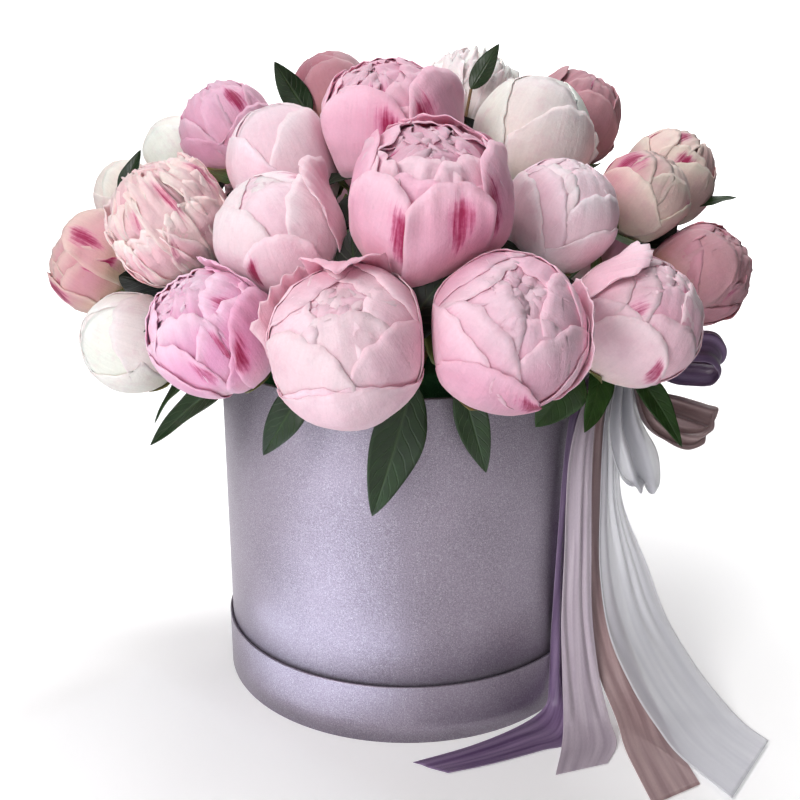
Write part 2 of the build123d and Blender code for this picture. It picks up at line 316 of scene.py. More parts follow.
def leaf_material():
    """Waxy leaf with a midrib and slanting side veins."""
    m = Material("leaf", roughness=0.38, specular=0.36)
    m.set("Subsurface Weight", 0.05)
    m.set("Subsurface Scale", 0.001)
    m.set("Coat Weight", 0.07)
    m.set("Coat Roughness", 0.35)
    tint = m.tint()
    uv = m.uv()
    split = m.node("ShaderNodeSeparateXYZ", {0: uv})
    side = m.math("ABSOLUTE", split.outputs[0])
    slant = m.minus(m.times(split.outputs[1], 9.0), m.times(side, 4.2))
    wobble = m.noise(uv, 5.0, 2.0)
    wave = m.math("SINE", m.times(m.plus(slant, m.times(wobble, 0.8)), TAU))
    side_vein = m.range(wave, low=0.80, high=1.0)
    midrib = m.range(side, 1.0, 0.0, 0.0, 0.055)
    vein = m.math("MAXIMUM", m.times(side_vein, 0.45), midrib)
    mottle = m.noise(m.place(), 160.0, 3.0)
    colour = m.mix(1.0, tint, m.grey(m.range(mottle, 0.72, 1.25)), "MULTIPLY")
    colour = m.mix(m.times(vein, 0.22), colour, srgb(84, 112, 62))
    m.feed("Base Color", colour)
    m.feed("Roughness", m.range(mottle, 0.34, 0.52))
    cells = m.noise(m.place(), 1500.0, 1.0)
    height = m.minus(m.times(cells, 0.12), vein)
    m.bump(height, 0.0004, 0.8)
    return m.material


def pearl_paper_material():
    """Lilac pearlescent covering paper with a fine metallic grain."""
    m = Material("pearl_paper", roughness=0.42, specular=0.6, metallic=0.65)
    place = m.place()
    grain = m.noise(place, 1100.0, 2.0, 0.7)
    fleck = m.noise(place, 3000.0, 1.0)
    cloud = m.noise(place, 26.0, 3.0)
    colour = m.mix(m.range(cloud), srgb(130, 119, 134), srgb(145, 133, 149))
    colour = m.mix(m.range(grain, 0.0, 0.6, 0.4, 0.75), colour, srgb(186, 179, 193))
    colour = m.mix(m.range(fleck, 0.0, 0.55, 0.60, 0.70), colour, srgb(240, 238, 246))
    m.feed("Base Color", colour)
    m.feed("Roughness", m.range(grain, 0.34, 0.46))
    height = m.plus(grain, m.times(cloud, 0.8))
    m.bump(height, 0.0003, 0.7)
    return m.material


def plain_paper_material():
    """White lining paper with a faint fibre."""
    m = Material("white_paper", roughness=0.85, specular=0.2)
    place = m.place()
    fibre = m.noise(m.vector(place, (1, 1, 0.35)), 900.0, 4.0, 0.65)
    m.feed("Base Color", m.mix(m.range(fibre), srgb(228, 224, 222), srgb(244, 241, 238)))
    m.bump(fibre, 0.0001, 0.5)
    return m.material


def grey_board_material():
    """Recycled grey board with dark specks."""
    m = Material("grey_board", roughness=0.9, specular=0.15)
    place = m.place()
    fibre = m.noise(m.vector(place, (1, 1, 3)), 420.0, 5.0, 0.7)
    speck = m.noise(place, 1300.0, 1.0)
    colour = m.mix(m.range(fibre), srgb(146, 138, 126), srgb(178, 170, 156))
    colour = m.mix(m.range(speck, 0, 0.6, 0.66, 0.74), colour, srgb(86, 80, 74))
    m.feed("Base Color", colour)
    m.bump(fibre, 0.0003, 0.7)
    return m.material


def film_material():
    """Creased clear film."""
    m = Material("clear_film", roughness=0.12, specular=0.5)
    place = m.place()
    crease = m.noise(m.vector(place, (1, 1, 0.4)), 40.0, 4.0, 0.7)
    m.feed("Base Color", m.mix(m.range(crease), srgb(225, 232, 236), srgb(245, 248, 250)))
    m.feed("Alpha", m.range(crease, 0.16, 0.4, 0.3, 0.8))
    m.bump(crease, 0.002, 0.6)
    return m.material


def foam_material():
    """Wet green foam full of pores, darker where it is damp."""
    m = Material("wet_foam", roughness=0.88, specular=0.3)
    place = m.place()
    pores = m.noise(place, 1500.0, 3.0, 0.75)
    damp = m.noise(place, 30.0, 3.0)
    colour = m.mix(m.range(damp), srgb(38, 84, 52), srgb(62, 112, 70))
    colour = m.mix(m.range(pores, 0, 0.7, 0.55, 0.75), colour, srgb(22, 52, 34))
    m.feed("Base Color", colour)
    m.feed("Roughness", m.range(damp, 0.7, 0.95))
    m.bump(pores, 0.0006, 0.9)
    return m.material


def satin_material(name, dark, light, roughness=0.34):
    """Woven satin: a fine warp along the ribbon, a soft lengthwise sheen painted into the colour as streaks
    between a darker and a lighter tone, and a bound edge.
    """
    m = Material(name, roughness=roughness, specular=0.7)
    m.set("Sheen Weight", 0.6)
    m.set("Sheen Roughness", 0.3)
    m.set("Anisotropic", 0.5)
    uv = m.uv()
    split = m.node("ShaderNodeSeparateXYZ", {0: uv})
    warp = m.noise(m.vector(uv, (190, 14, 1)), 1.0, 2.0, 0.6)
    weft = m.math("SINE", m.times(split.outputs[1], 2600.0))
    # lengthwise streaks between the dark and the light tone: painted sheen of the satin's folds
    cloud = m.noise(m.vector(uv, (7.0, 0.35, 1)), 1.0, 2.0)
    side = m.math("ABSOLUTE", m.minus(split.outputs[0], 0.5))
    selvedge = m.range(side, low=0.472, high=0.482)
    colour = m.mix(m.range(cloud), dark, light)
    colour = m.mix(1.0, colour, m.grey(m.range(warp, 0.86, 1.1)), "MULTIPLY")
    colour = m.mix(m.times(selvedge, 0.35), colour, np.minimum(light * 1.25, 1))
    m.feed("Base Color", colour)
    m.feed("Roughness", m.range(warp, roughness - 0.06, roughness + 0.1))
    height = m.plus(m.times(warp, 0.8), m.times(weft, 0.12))
    m.bump(m.plus(height, m.times(selvedge, 1.5)), 0.00012, 0.7)
    return m.material


def organza_material():
    """Sheer woven organza: a fine open mesh that lets some of what is behind it through."""
    m = Material("organza", roughness=0.38, specular=0.5)
    m.set("Sheen Weight", 0.5)
    m.set("Sheen Roughness", 0.3)
    uv = m.uv()
    split = m.node("ShaderNodeSeparateXYZ", {0: uv})
    across = m.math("SINE", m.times(split.outputs[0], 700.0))
    along = m.math("SINE", m.times(split.outputs[1], 1900.0))
    weave = m.math("MAXIMUM", across, along)
    cloud = m.noise(m.vector(uv, (9.0, 0.4, 1)), 1.0, 2.0)
    side = m.math("ABSOLUTE", m.minus(split.outputs[0], 0.5))
    selvedge = m.range(side, low=0.470, high=0.482)
    # lengthwise streaks between a greyer and a whiter tone: painted sheen of the organza's folds
    colour = m.mix(m.range(cloud), srgb(222, 222, 232), srgb(244, 245, 250))
    colour = m.mix(m.times(selvedge, 0.6), colour, srgb(244, 244, 250))
    m.feed("Base Color", colour)
    m.feed("Alpha", m.plus(m.range(weave, 0.4, 0.68, -0.4, 1.0), m.times(selvedge, 0.3), clamp=True))
    m.bump(m.plus(m.times(weave, 0.4), m.times(cloud, 0.8)), 0.00015, 0.6)
    return m.material


def wood_material():
    """Bare light wood with its grain."""
    m = Material("pick_wood", roughness=0.7, specular=0.3)
    place = m.place()
    grain = m.noise(m.vector(place, (1, 3, 6)), 260.0, 4.0, 0.6)
    m.feed("Base Color", m.mix(m.range(grain), srgb(176, 140, 98), srgb(214, 184, 140)))
    m.bump(grain, 0.0002, 0.6)
    return m.material


def wire_material():
    """Green enamelled wire, a little worn."""
    m = Material("green_wire", roughness=0.4, specular=0.5, metallic=0.2)
    place = m.place()
    wear = m.noise(place, 700.0, 3.0)
    m.feed("Base Color", m.mix(m.range(wear, low=0.55, high=0.75), srgb(40, 92, 48), srgb(96, 120, 84)))
    m.feed("Roughness", m.range(wear, 0.32, 0.5))
    return m.material


PETAL = petal_material()
LEAF = leaf_material()
PEARL = pearl_paper_material()
WHITE_PAPER = plain_paper_material()
BOARD = grey_board_material()
FILM = film_material()
FOAM = foam_material()
WOOD = wood_material()
WIRE = wire_material()
# each satin's second, lighter colour is the tone of its painted sheen
SATINS = {
    "ribbon_purple": satin_material("satin_purple", srgb(90, 64, 106), srgb(152, 128, 164)),
    "ribbon_lilac": satin_material("satin_lilac", srgb(170, 154, 170), srgb(206, 193, 204)),
    "ribbon_rose": satin_material("satin_rose", srgb(158, 128, 130), srgb(194, 166, 166)),
    "ribbon_organza": organza_material(),
}
RIBBON_SLOTS = {
    "ribbon_purple": "satin_purple",
    "ribbon_lilac": "satin_lilac",
    "ribbon_rose": "satin_rose",
    "ribbon_organza": "organza",
}


# ---- box and lid: turned shapes with softened paper edges ----
def turned(name, profile, material):
    """A closed ring turned from a closed profile of (radius, height) points."""
    angles = np.linspace(0, TAU, TURNED_STEPS, endpoint=False)
    radii, heights = np.array(profile).T[..., None]
    points = np.stack(np.broadcast_arrays(radii * np.cos(angles), radii * np.sin(angles), heights), -1)
    faces = grid_faces(len(profile), TURNED_STEPS, wrap=True)
    last = (len(profile) - 1) * TURNED_STEPS
    for column in range(TURNED_STEPS):
        following = (column + 1) % TURNED_STEPS
        faces.append((last + column, last + following, following, column))
    return make_mesh(name, points.reshape(-1, 3), faces, material)


def folded_edge_profile(outer, inner, low, high, thickness, inside_low, bend):
    """Paper that covers the outside, rounds the top edge and turns down inside."""
    profile = [(outer, low), (outer, low + (high - low) * 0.35), (outer, high - 6 * bend)]
    for centre, quarter in ((outer - bend, 0), (inner + bend, 1)):
        for step in range(9):
            angle = math.pi / 2 * (quarter + step / 8)
            profile.append((centre + bend * math.cos(angle), high - bend + bend * math.sin(angle)))
    profile += [(inner, inside_low), (inner + thickness, inside_low)]
    profile += [(inner + thickness, high - thickness * 2), (outer - thickness, high - thickness * 2)]
    profile += [(outer - thickness, low)]
    return profile


def paper_covers():
    """The covering paper of the box and of the lid, folded in over the edge."""
    insides = {
        "box": (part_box("film_liner")[1].x + FILM_TO_PAPER, BOX_PAPER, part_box("box_lining")[1].z, BOX_EDGE),
        "lid": (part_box("lid_top_board")[1].x - LID_PAPER, LID_PAPER,
                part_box("lid_side_paper")[1].z - LID_TURN_IN, LID_EDGE),
    }
    for body, (inner, thickness, inside_low, bend) in insides.items():
        name = body + "_side_paper"
        low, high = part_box(name)
        outer = (high.x - low.x) / 2
        profile = folded_edge_profile(outer, inner, low.z, high.z, thickness, inside_low, bend)
        finish_piece(turned(name + "_cover", profile, PEARL), body, "cover_paper", name)


def wall_seam():
    """The lap where the covering paper meets itself, down the back of the box and of the lid."""
    half_width, rows, columns = 9 * MM, 24, 13
    for body, angle in (("box", 78), ("lid", 84)):
        name = body + "_side_paper"
        low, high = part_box(name)
        radius = (high.x - low.x) / 2 + 0.02 * MM
        centre = math.radians(angle)
        turns = np.linspace(centre - half_width / radius, centre + half_width / radius, columns)
        heights = np.linspace(low.z + 0.3 * MM, high.z - 1.2 * MM, rows)
        points = np.zeros((rows, columns, 3))
        points[..., 0] = radius * np.cos(turns)
        points[..., 1] = radius * np.sin(turns)
        points[..., 2] = heights[:, None]
        points[..., :2] *= 1 + LAP_THICKNESS / radius
        uv = np.zeros((rows, columns, 2))
        lap = one_sheet(name + "_lap", points[::-1], LAP_THICKNESS, uv, np.ones(points.shape), PEARL)
        finish_piece(lap, body, "cover_paper")


def plain_cad_materials():
    """Materials of the CAD pieces that stay as they are."""
    finishes = {
        PEARL: ["box_floor_paper", "lid_top_paper"],
        BOARD: ["box_tube", "box_floor", "lid_rim_board", "lid_top_board"],
        WHITE_PAPER: ["box_lining"],
        FILM: ["film_liner"],
        WOOD: ["bow_pick"],
        WIRE: ["bow_wire"],
    }
    for material, names in finishes.items():
        for name in names:
            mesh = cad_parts[name].data
            mesh.materials.clear()
            mesh.materials.append(material)


# ---- wet foam: crumbly blocks with worn corners ----
def cube_grid(counts):
    """Points and faces of a cube from -1 to 1, with the given number of cells along each axis."""
    points, faces = [], []
    for axis in range(3):
        first, second = (other for other in range(3) if other != axis)
        a = np.linspace(-1, 1, counts[first] + 1)
        b = np.linspace(-1, 1, counts[second] + 1)
        for sign in (-1, 1):
            grid = np.full((len(a), len(b), 3), float(sign))
            grid[..., first] = a[:, None]
            grid[..., second] = b
            side_faces = grid_faces(len(a), len(b), sum(len(p) for p in points))
            outward = (sign > 0) == (axis == 1)
            faces += side_faces if outward else [tuple(reversed(face)) for face in side_faces]
            points.append(grid.reshape(-1, 3))
    return np.concatenate(points), faces


def foam_blocks():
    """Blocks with worn corners and a crumbly surface."""
    for name in ("foam_brick_left", "foam_brick_right", "foam_wedge_front", "foam_wedge_back"):
        low, high = (np.array(corner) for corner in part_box(name))
        rng = np.random.default_rng(sum(map(ord, name)))
        cube, faces = cube_grid([max(6, int(side / FOAM_CELL)) for side in high - low])
        away = cube * FOAM_CORNER
        away = away / np.maximum(np.linalg.norm(away, axis=1, keepdims=True), 1e-9)
        rounded = cube * ((high - low) / 2 - FOAM_CORNER) + away * FOAM_CORNER
        lumps, grain = waves(rng, 10, 260), waves(rng, 12, 900)
        rough = (lumps(rounded) * 0.5 + grain(rounded) * 0.25 - 0.6) * MM
        block = make_mesh(name + "_block", rounded + away * rough[:, None] + (high + low) / 2, faces, FOAM)
        weld(block)
        finish_piece(block, "box", "foam", name)


def weld(piece, distance=1e-6):
    """Joins the points that coincide and turns all faces outwards."""
    work = bmesh.new()
    work.from_mesh(piece.data)
    bmesh.ops.remove_doubles(work, verts=work.verts, dist=distance)
    bmesh.ops.recalc_face_normals(work, faces=work.faces)
    work.to_mesh(piece.data)
    work.free()


# ---- reading the CAD blooms and leaves ----
def islands(node):
    """The separate solids of a CAD node, as arrays of their vertices."""
    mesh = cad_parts[node].data
    points = np.zeros(len(mesh.vertices) * 3)
    mesh.vertices.foreach_get("co", points)
    points = points.reshape(-1, 3)
    edges = np.zeros(len(mesh.edges) * 2, np.int64)
    mesh.edges.foreach_get("vertices", edges)
    first_at = {}
    same_place = [first_at.setdefault(tuple(row), index) for index, row in enumerate(np.round(points, 6))]
    parent = np.arange(len(points))

    def root(index):
        while parent[index] != index:
            parent[index] = parent[parent[index]]
            index = parent[index]
        return index

    for index, same in enumerate(same_place):
        parent[root(index)] = root(same)
    for a, b in edges.reshape(-1, 2):
        parent[root(a)] = root(b)
    roots = np.array([root(index) for index in range(len(points))])
    return [points[roots == value] for value in np.unique(roots)]


def ball_of(points):
    """Centre and radius of the sphere through the points."""
    rows = np.hstack([2 * points, np.ones((len(points), 1))])
    solution = np.linalg.lstsq(rows, (points ** 2).sum(1), rcond=None)[0]
    centre = solution[:3]
    return centre, math.sqrt(solution[3] + centre @ centre)


def slenderness(points):
    """How thick a solid is against its length: small for a rod, near 1 for a ball."""
    spread = np.linalg.svd(points - points.mean(0), compute_uv=False)
    return spread[1] / spread[0]


class Bloom:
    """Centre, radius and stem of a bloom, read from its CAD solids."""

    def __init__(self, node):
        self.node = node
        parts = sorted(islands(node), key=slenderness)
        self.stem_points = parts[0]
        self.centre, radius = ball_of(parts[-1])
        self.radius = radius / BLOOM_SOLID * FULLNESS
        stem_middle = self.stem_points.mean(0)
        self.stem_axis = unit(self.centre - stem_middle)
        reach = (self.stem_points - stem_middle) @ self.stem_axis
        self.stem_start = stem_middle + self.stem_axis * reach.min()
        self.stem_end = stem_middle + self.stem_axis * reach.max()
        side = np.linalg.norm(np.cross(self.stem_points - stem_middle, self.stem_axis), axis=1)
        self.stem_radius = side.max()
        self.azimuth = math.atan2(self.centre[1], self.centre[0])


# ---- petals ----
# base, middle and edge of each palette; the dusty-pink palette is darkened all over to stand for the shade on
# the right of the bunch, painted shade, and the flamed one is real cream with red flames, partly darkened for
# the same painted shade
PALETTES = {
    "blush": (srgb(250, 224, 206), srgb(244, 192, 208), srgb(252, 218, 228)),
    "pink": (srgb(240, 200, 190), srgb(236, 168, 194), srgb(248, 204, 220)),
    "mauve": (srgb(226, 176, 168), srgb(216, 146, 176), srgb(238, 190, 212)),
    "peach": (srgb(250, 230, 220), srgb(248, 210, 220), srgb(253, 232, 238)),
    "orchid": (srgb(240, 200, 184), srgb(234, 152, 196), srgb(252, 208, 230)),
    "coral": (srgb(250, 232, 206), srgb(238, 168, 186), srgb(255, 236, 230)),
    "flamed": (srgb(216, 198, 150), srgb(216, 160, 166), srgb(238, 216, 204)),
    "ivory": (srgb(240, 232, 212), srgb(246, 239, 230), srgb(252, 247, 244)),
    "shaded_dusty": (srgb(204, 150, 92), srgb(178, 114, 126), srgb(202, 150, 160)),
    "cream": (srgb(240, 224, 190), srgb(246, 220, 212), srgb(250, 238, 232)),
}


class Petal:
    """One petal on a unit bloom whose pole is +Z.

    turn: direction of the petal around the pole, in degrees, 0 right and 90 up seen from the pole.
    tip: angle between the pole and the petal's tip, in degrees; half_width: its half angle at the widest.
    layer: its radius; lift, curl: how far its margin and its tip stand out; ruffle, folds: size and number
    of its waves; notch, point: depth of a notch and length of a point at the tip; skew: how much one margin
    stands over the other; base: angle of its foot; shade: brightness, lowered on the inner rings and the heart
    as painted shade; flare, streak: strength and place of the crimson flames.
    """

    def __init__(self, turn, tip, half_width, layer=1.0, lift=0.02, curl=0.0, ruffle=0.0, folds=5,
                 notch=0.0, skew=0.008, flare=0.0, base=166, point=0.0, shade=1.0, streak=None):
        self.turn, self.tip, self.half_width = (math.radians(v) for v in (turn, tip, half_width))
        self.layer, self.lift, self.curl, self.ruffle, self.folds = layer, lift, curl, ruffle, folds
        self.notch, self.skew, self.flare = notch, skew, flare
        self.base, self.point, self.shade, self.streak = math.radians(base), point, shade, streak


def petal_sheet(petal, rng, rows, columns):
    """Points of a petal, with its values along (0 foot, 1 tip) and across (-1 to 1)."""
    along = np.linspace(0, 1, rows)[:, None]
    side = np.linspace(-1, 1, columns)[None, :]
    phase, phase_two, phase_three = rng.uniform(0, TAU, 3)
    rim = np.abs(side)
    widths = 0.2 + 0.8 * np.sin(np.minimum(along / 0.6, 1) * math.pi / 2) ** 1.1
    widths = widths * (1 - 0.16 * smooth_step(0.72, 1.0, along))
    end = petal.tip + petal.half_width * (0.5 * rim ** 2.6 - petal.point * (1 - rim) ** 2)
    end = end + petal.notch * np.exp(-(side / 0.16) ** 2)
    scallop = 0.035 * np.sin(side * math.pi * (petal.folds + 1) + phase_two) * (0.4 + petal.ruffle * 5)
    end = end + scallop * petal.half_width
    bend = petal.base + (end - petal.base) * along
    lateral = side * petal.half_width * widths
    lateral = lateral + 0.03 * np.sin(along * 7 + phase) * rim * petal.half_width
    near_tip = smooth_step(0.55, 1.0, along)
    radius = petal.layer + petal.skew * side * smooth_step(0.1, 0.5, along)
    radius = radius + petal.lift * rim ** 3 * smooth_step(0.15, 0.6, along)
    radius = radius + petal.lift * 0.8 * near_tip * along ** 4
    radius = radius + petal.curl * smooth_step(0.74, 1.0, along) ** 1.4
    frill = np.sin(side * math.pi * petal.folds + phase)
    frill = frill + 0.5 * np.sin(side * math.pi * petal.folds * 2.3 + phase_two)
    radius = radius + petal.ruffle * near_tip ** 1.5 * frill
    edge_frill = np.sin(along * math.pi * petal.folds * 1.4 + phase_three)
    radius = radius + petal.ruffle * 0.6 * rim ** 4 * smooth_step(0.35, 0.7, along) * edge_frill
    pleat = np.sin(side * 9 + phase_three) * 0.5 + np.sin(side * 17 + phase)
    radius = radius + 0.0016 * pleat * smooth_step(0.1, 0.4, along) * (1 - 0.4 * near_tip)
    meridian = np.array([math.cos(petal.turn), math.sin(petal.turn), 0.0])
    beside = np.array([-math.sin(petal.turn), math.cos(petal.turn), 0.0])
    centre_line = np.sin(bend)[..., None] * meridian + np.cos(bend)[..., None] * np.array([0, 0, 1.0])
    direction = np.cos(lateral)[..., None] * centre_line + np.sin(lateral)[..., None] * beside
    return direction * radius[..., None], along, side


def petal_colours(petal, palette, along, side, rng, patch):
    """Colour from the cream foot of a petal to its pale rim; patch is the bloom's own slow change of hue."""
    base, middle, edge = palette
    rim = np.maximum(smooth_step(0.8, 1.0, along), smooth_step(0.8, 1.0, np.abs(side)))
    depth = smooth_step(0.08, 0.72, along) + 0 * side
    colour = base + (middle - base) * depth[..., None]
    colour = colour + (edge - colour) * np.clip(0.55 * rim + 0.35 + 0.4 * patch, 0, 1)[..., None]
    blush = rng.uniform(0.88, 1.05)
    # petal.shade darkens the inner rings and the heart: painted shade
    colour = colour * np.array([1.0, blush, 0.5 + 0.5 * blush]) * rng.uniform(0.93, 1.04) * petal.shade
    return np.clip(colour, 0, 0.98)


def petal_flare(petal, along, side, rng):
    """Where the crimson flames run: along one margin or up the middle, fanning out towards the rim."""
    chance, centre = rng.uniform(), rng.choice([-0.8, 0.8, rng.uniform(-0.4, 0.4)])
    if petal.streak is not None:
        chance, centre = 0, petal.streak
    if chance > petal.flare * 0.75 or petal.flare == 0:
        return np.zeros((len(along), side.shape[1]))
    spread = rng.uniform(0.18, 0.34) * (0.4 + 1.5 * smooth_step(0.45, 0.95, along))
    band = np.exp(-((side - centre) / spread) ** 2)
    reach = smooth_step(0.4, 0.74, along) * (1 - 0.7 * smooth_step(0.86, 0.99, along))
    return (0.55 + 0.45 * petal.flare) * band * reach


# Rings of petals of each kind of bloom, from its heart outwards: how many, where the first one is from
# the bloom's spin, the range of their tips, their half width, and what else they have. A pair is a range.
# shade below 1 on the innermost ring of each kind makes those petals darker: painted shade in the hollow of
# the bloom
RINGS = {
    "bud": [
        (4, 20, (-10, 8), 48, dict(layer=(0.925, 0.935), ruffle=0.004, lift=0.006)),
        (3, 75, (8, 22), 62, dict(layer=(0.95, 0.955), ruffle=0.004, lift=0.006)),
        (3, 0, (28, 52), 68, dict(layer=(0.972, 0.98), ruffle=0.005, lift=0.006, notch=0.04)),
    ],
    "ball": [
        (6, 0, (-8, 10), 34, dict(layer=(0.905, 0.92), ruffle=0.016, lift=0.012, folds=4, shade=0.96)),
        (5, 30, (8, 26), 44, dict(layer=(0.935, 0.95), ruffle=0.008, notch=0.05, lift=0.01)),
        (4, 10, (26, 46), 54, dict(layer=(0.96, 0.97), ruffle=0.006, notch=0.05, lift=0.01)),
        (3, 70, (52, 76), 60, dict(layer=(0.985, 0.99), ruffle=0.005, notch=0.04, lift=0.012)),
    ],
    "cup": [
        (7, 0, (-6, 16), 32, dict(layer=(0.86, 0.9), ruffle=0.026, folds=4, shade=0.94)),
        (5, 25, (14, 34), 38, dict(layer=(0.91, 0.93), ruffle=0.014, notch=0.08, lift=0.025, curl=(0, 0.05))),
        (5, 0, (36, 56), 44, dict(layer=(0.945, 0.96), ruffle=0.01, notch=0.07, lift=0.02, curl=(0, 0.04))),
        (3, 40, (62, 84), 56, dict(layer=(0.98, 0.99), ruffle=0.008, lift=0.016)),
    ],
    "open": [
        (9, 0, (-6, 22), 24, dict(layer=(0.82, 0.88), ruffle=0.034, folds=3, shade=0.88)),
        (7, 20, (14, 36), 31, dict(layer=(0.88, 0.93), ruffle=0.02, folds=2, notch=0.06, lift=0.03,
                                   curl=(0, 0.05))),
        (5, 0, (34, 54), 42, dict(layer=(0.93, 0.96), ruffle=0.012, folds=2, notch=0.06, lift=0.03,
                                  curl=(0, 0.06))),
        (4, 35, (56, 80), 50, dict(layer=(0.965, 0.98), ruffle=0.006, folds=2, lift=0.01, curl=(0, 0.015))),
    ],
    "ruffle": [
        (14, 0, (-4, 28), 16, dict(layer=(0.8, 0.93), ruffle=0.06, folds=3, shade=0.95)),
        (13, 12, (24, 52), 18, dict(layer=(0.88, 0.98), ruffle=0.05, folds=3, notch=0.14, lift=0.04,
                                    curl=(-0.02, 0.05))),
        (11, 0, (44, 76), 23, dict(layer=(0.92, 0.99), ruffle=0.04, folds=3, notch=0.12, lift=0.03,
                                   curl=(-0.02, 0.06))),
        (6, 20, (66, 92), 38, dict(layer=(0.96, 0.99), ruffle=0.02, folds=4, notch=0.1, lift=0.03)),
    ],
}
# how deep the creases of each kind of bloom are, over its radius
CREASES = {"bud": 0.005, "ball": 0.009, "cup": 0.014, "open": 0.02, "ruffle": 0.03}


def petals_of(kind, rng, spin, flare):
    """The petals of a bloom, with a little disorder in each ring."""
    petals = []
    for count, start, tips, half_width, settings in RINGS[kind]:
        for index in range(count):
            turn = spin + start + 360 * index / count + rng.uniform(-9, 9)
            options = {key: rng.uniform(*value) if isinstance(value, tuple) else value
                       for key, value in settings.items()}
            tip = rng.uniform(*tips)
            petals.append(Petal(turn, tip, half_width * rng.uniform(0.9, 1.1), flare=flare, **options))
    return petals


# By bloom number: kind, palette, spin in degrees, lean upwards in degrees, and strength of the flames.
LOOKS = {
    1: ("ball", "blush", -40, 16, 0.35), 2: ("ball", "pink", 15, 10, 0.35),
    3: ("ball", "blush", 130, 12, 0.8), 4: ("cup", "orchid", 200, 22, 0.7),
    # bloom 7, on the shaded right of the bunch, takes the darkened dusty-pink palette: painted shade
    5: ("bud", "ivory", 40, 12, 0.0), 6: ("cup", "flamed", 60, 8, 1.0), 7: ("cup", "shaded_dusty", 100, 6, 0.7),
    # bloom 14 takes the pale peach palette to make up for the shade that bloom 15 casts on it: painted light
    14: ("ball", "peach", 75, 14, 0.2), 15: ("open", "pink", 30, 6, 1.0),
    16: ("bud", "peach", 10, 10, 0.4), 17: ("ruffle", "coral", 0, 8, 0.5),
    # blooms 18 and 19 on the right take the darker flamed palette: real flames on cream, partly darkened as
    # painted shade
    18: ("ball", "flamed", 200, 6, 1.0), 19: ("cup", "flamed", 30, 6, 1.0),
    24: ("bud", "ivory", 0, 0, 0.0), 25: ("bud", "cream", 50, 0, 0.2), 26: ("bud", "peach", 150, 10, 0.0),
    27: ("cup", "mauve", 30, 0, 1.0), 28: ("cup", "pink", 80, -14, 0.9),
    29: ("bud", "ivory", 220, 0, 0.0), 30: ("cup", "shaded_dusty", 10, 0, 0.5),
    31: ("ruffle", "ivory", 0, -10, 0.0), 32: ("ball", "shaded_dusty", 90, -10, 0.3),
}
# The other blooms, which face the back, take these in turn.
SPARE_LOOKS = [("ball", "blush", 0, 10, 0.3), ("cup", "pink", 0, 8, 0.7), ("open", "mauve", 0, 6, 0.8),
               ("bud", "peach", 0, 8, 0.2), ("ball", "pink", 0, 8, 0.4), ("ruffle", "blush", 0, 8, 0.5)]

# Single petals that stand out on some blooms, laid over the others.
SPECIAL_PETALS = {
    1: [Petal(96, 26, 30, layer=0.99, curl=0.16, ruffle=0.012, point=0.5),
        Petal(150, 62, 34, layer=0.995, lift=0.07, curl=0.07, ruffle=0.03),
        Petal(-80, 66, 66, layer=1.0, lift=0.012, ruffle=0.006)],
    2: [Petal(-8, 50, 40, layer=1.0, lift=0.04, curl=0.05, ruffle=0.01),
        Petal(-120, 60, 44, layer=1.0, flare=1.0, streak=0.85)],
    3: [Petal(120, 30, 34, layer=0.99, curl=0.08, ruffle=0.04, lift=0.04),
        Petal(-150, 56, 40, layer=1.0, flare=1.0, streak=0.8)],
    4: [Petal(80, 30, 40, layer=0.99, curl=0.1, lift=0.06, ruffle=0.03),
        Petal(10, 52, 40, layer=1.0, curl=0.06, lift=0.05, ruffle=0.02, flare=0.8, streak=-0.8)],
    6: [Petal(-75, 44, 48, layer=1.0, flare=1.0, streak=0.5),
        Petal(50, 34, 42, layer=0.99, curl=0.08, lift=0.08, flare=1.0, streak=-0.3),
        Petal(150, 48, 44, layer=1.0, lift=0.03)],
    7: [Petal(-60, 62, 52, layer=1.0, curl=0.03, flare=0.9, streak=0.9),
        Petal(160, 40, 46, layer=0.99, lift=0.03)],
    15: [Petal(172, 38, 36, layer=1.0, curl=0.03, lift=0.0, ruffle=0.004, folds=2, flare=0.8, streak=-0.7),
         Petal(-136, 46, 30, layer=1.05, lift=0.012, curl=0.03, ruffle=0.01, folds=2, flare=1.0, streak=0.8),
         Petal(-20, 34, 42, layer=1.02, curl=0.06, lift=0.02, ruffle=0.014, folds=2, flare=1.0, streak=-0.7),
         Petal(-82, 44, 30, layer=1.08, lift=0.03, curl=0.09, ruffle=0.018, folds=2, flare=1.0, streak=0.2),
         Petal(70, 30, 40, layer=0.96, curl=0.05, lift=0.04, ruffle=0.012, folds=2)],
    16: [Petal(35, 34, 34, layer=1.0, curl=0.17, lift=0.06, ruffle=0.02),
         Petal(-52, 58, 36, layer=1.0, curl=0.03, flare=1.0, streak=-0.7)],
    26: [Petal(140, 40, 40, layer=1.0, curl=0.03, ruffle=0.01)],
    28: [Petal(-20, 34, 38, layer=1.05, curl=0.06, lift=0.04, ruffle=0.014, folds=2, flare=1.0, streak=-0.6),
         Petal(-100, 32, 44, layer=1.03, curl=0.05, lift=0.03, ruffle=0.01, folds=2, flare=1.0, streak=0.7),
         Petal(170, 40, 46, layer=1.0, curl=0.02, lift=0.0, ruffle=0.004, folds=2)],
    29: [Petal(-40, 56, 46, layer=1.0, curl=0.05, lift=0.04, ruffle=0.03)],
}


def bloom_frame(bloom, lean):
    """Axes of a bloom: right, up and out, seen from in front of it."""
    right = np.array([-math.sin(bloom.azimuth), math.cos(bloom.azimuth), 0.0])
    out = bloom.stem_axis
    up = unit(np.cross(out, right))
    angle = math.radians(lean)
    out = unit(out * math.cos(angle) + up * math.sin(angle))
    right = unit(right - out * (right @ out))
    return np.stack([right, unit(np.cross(out, right)), out])


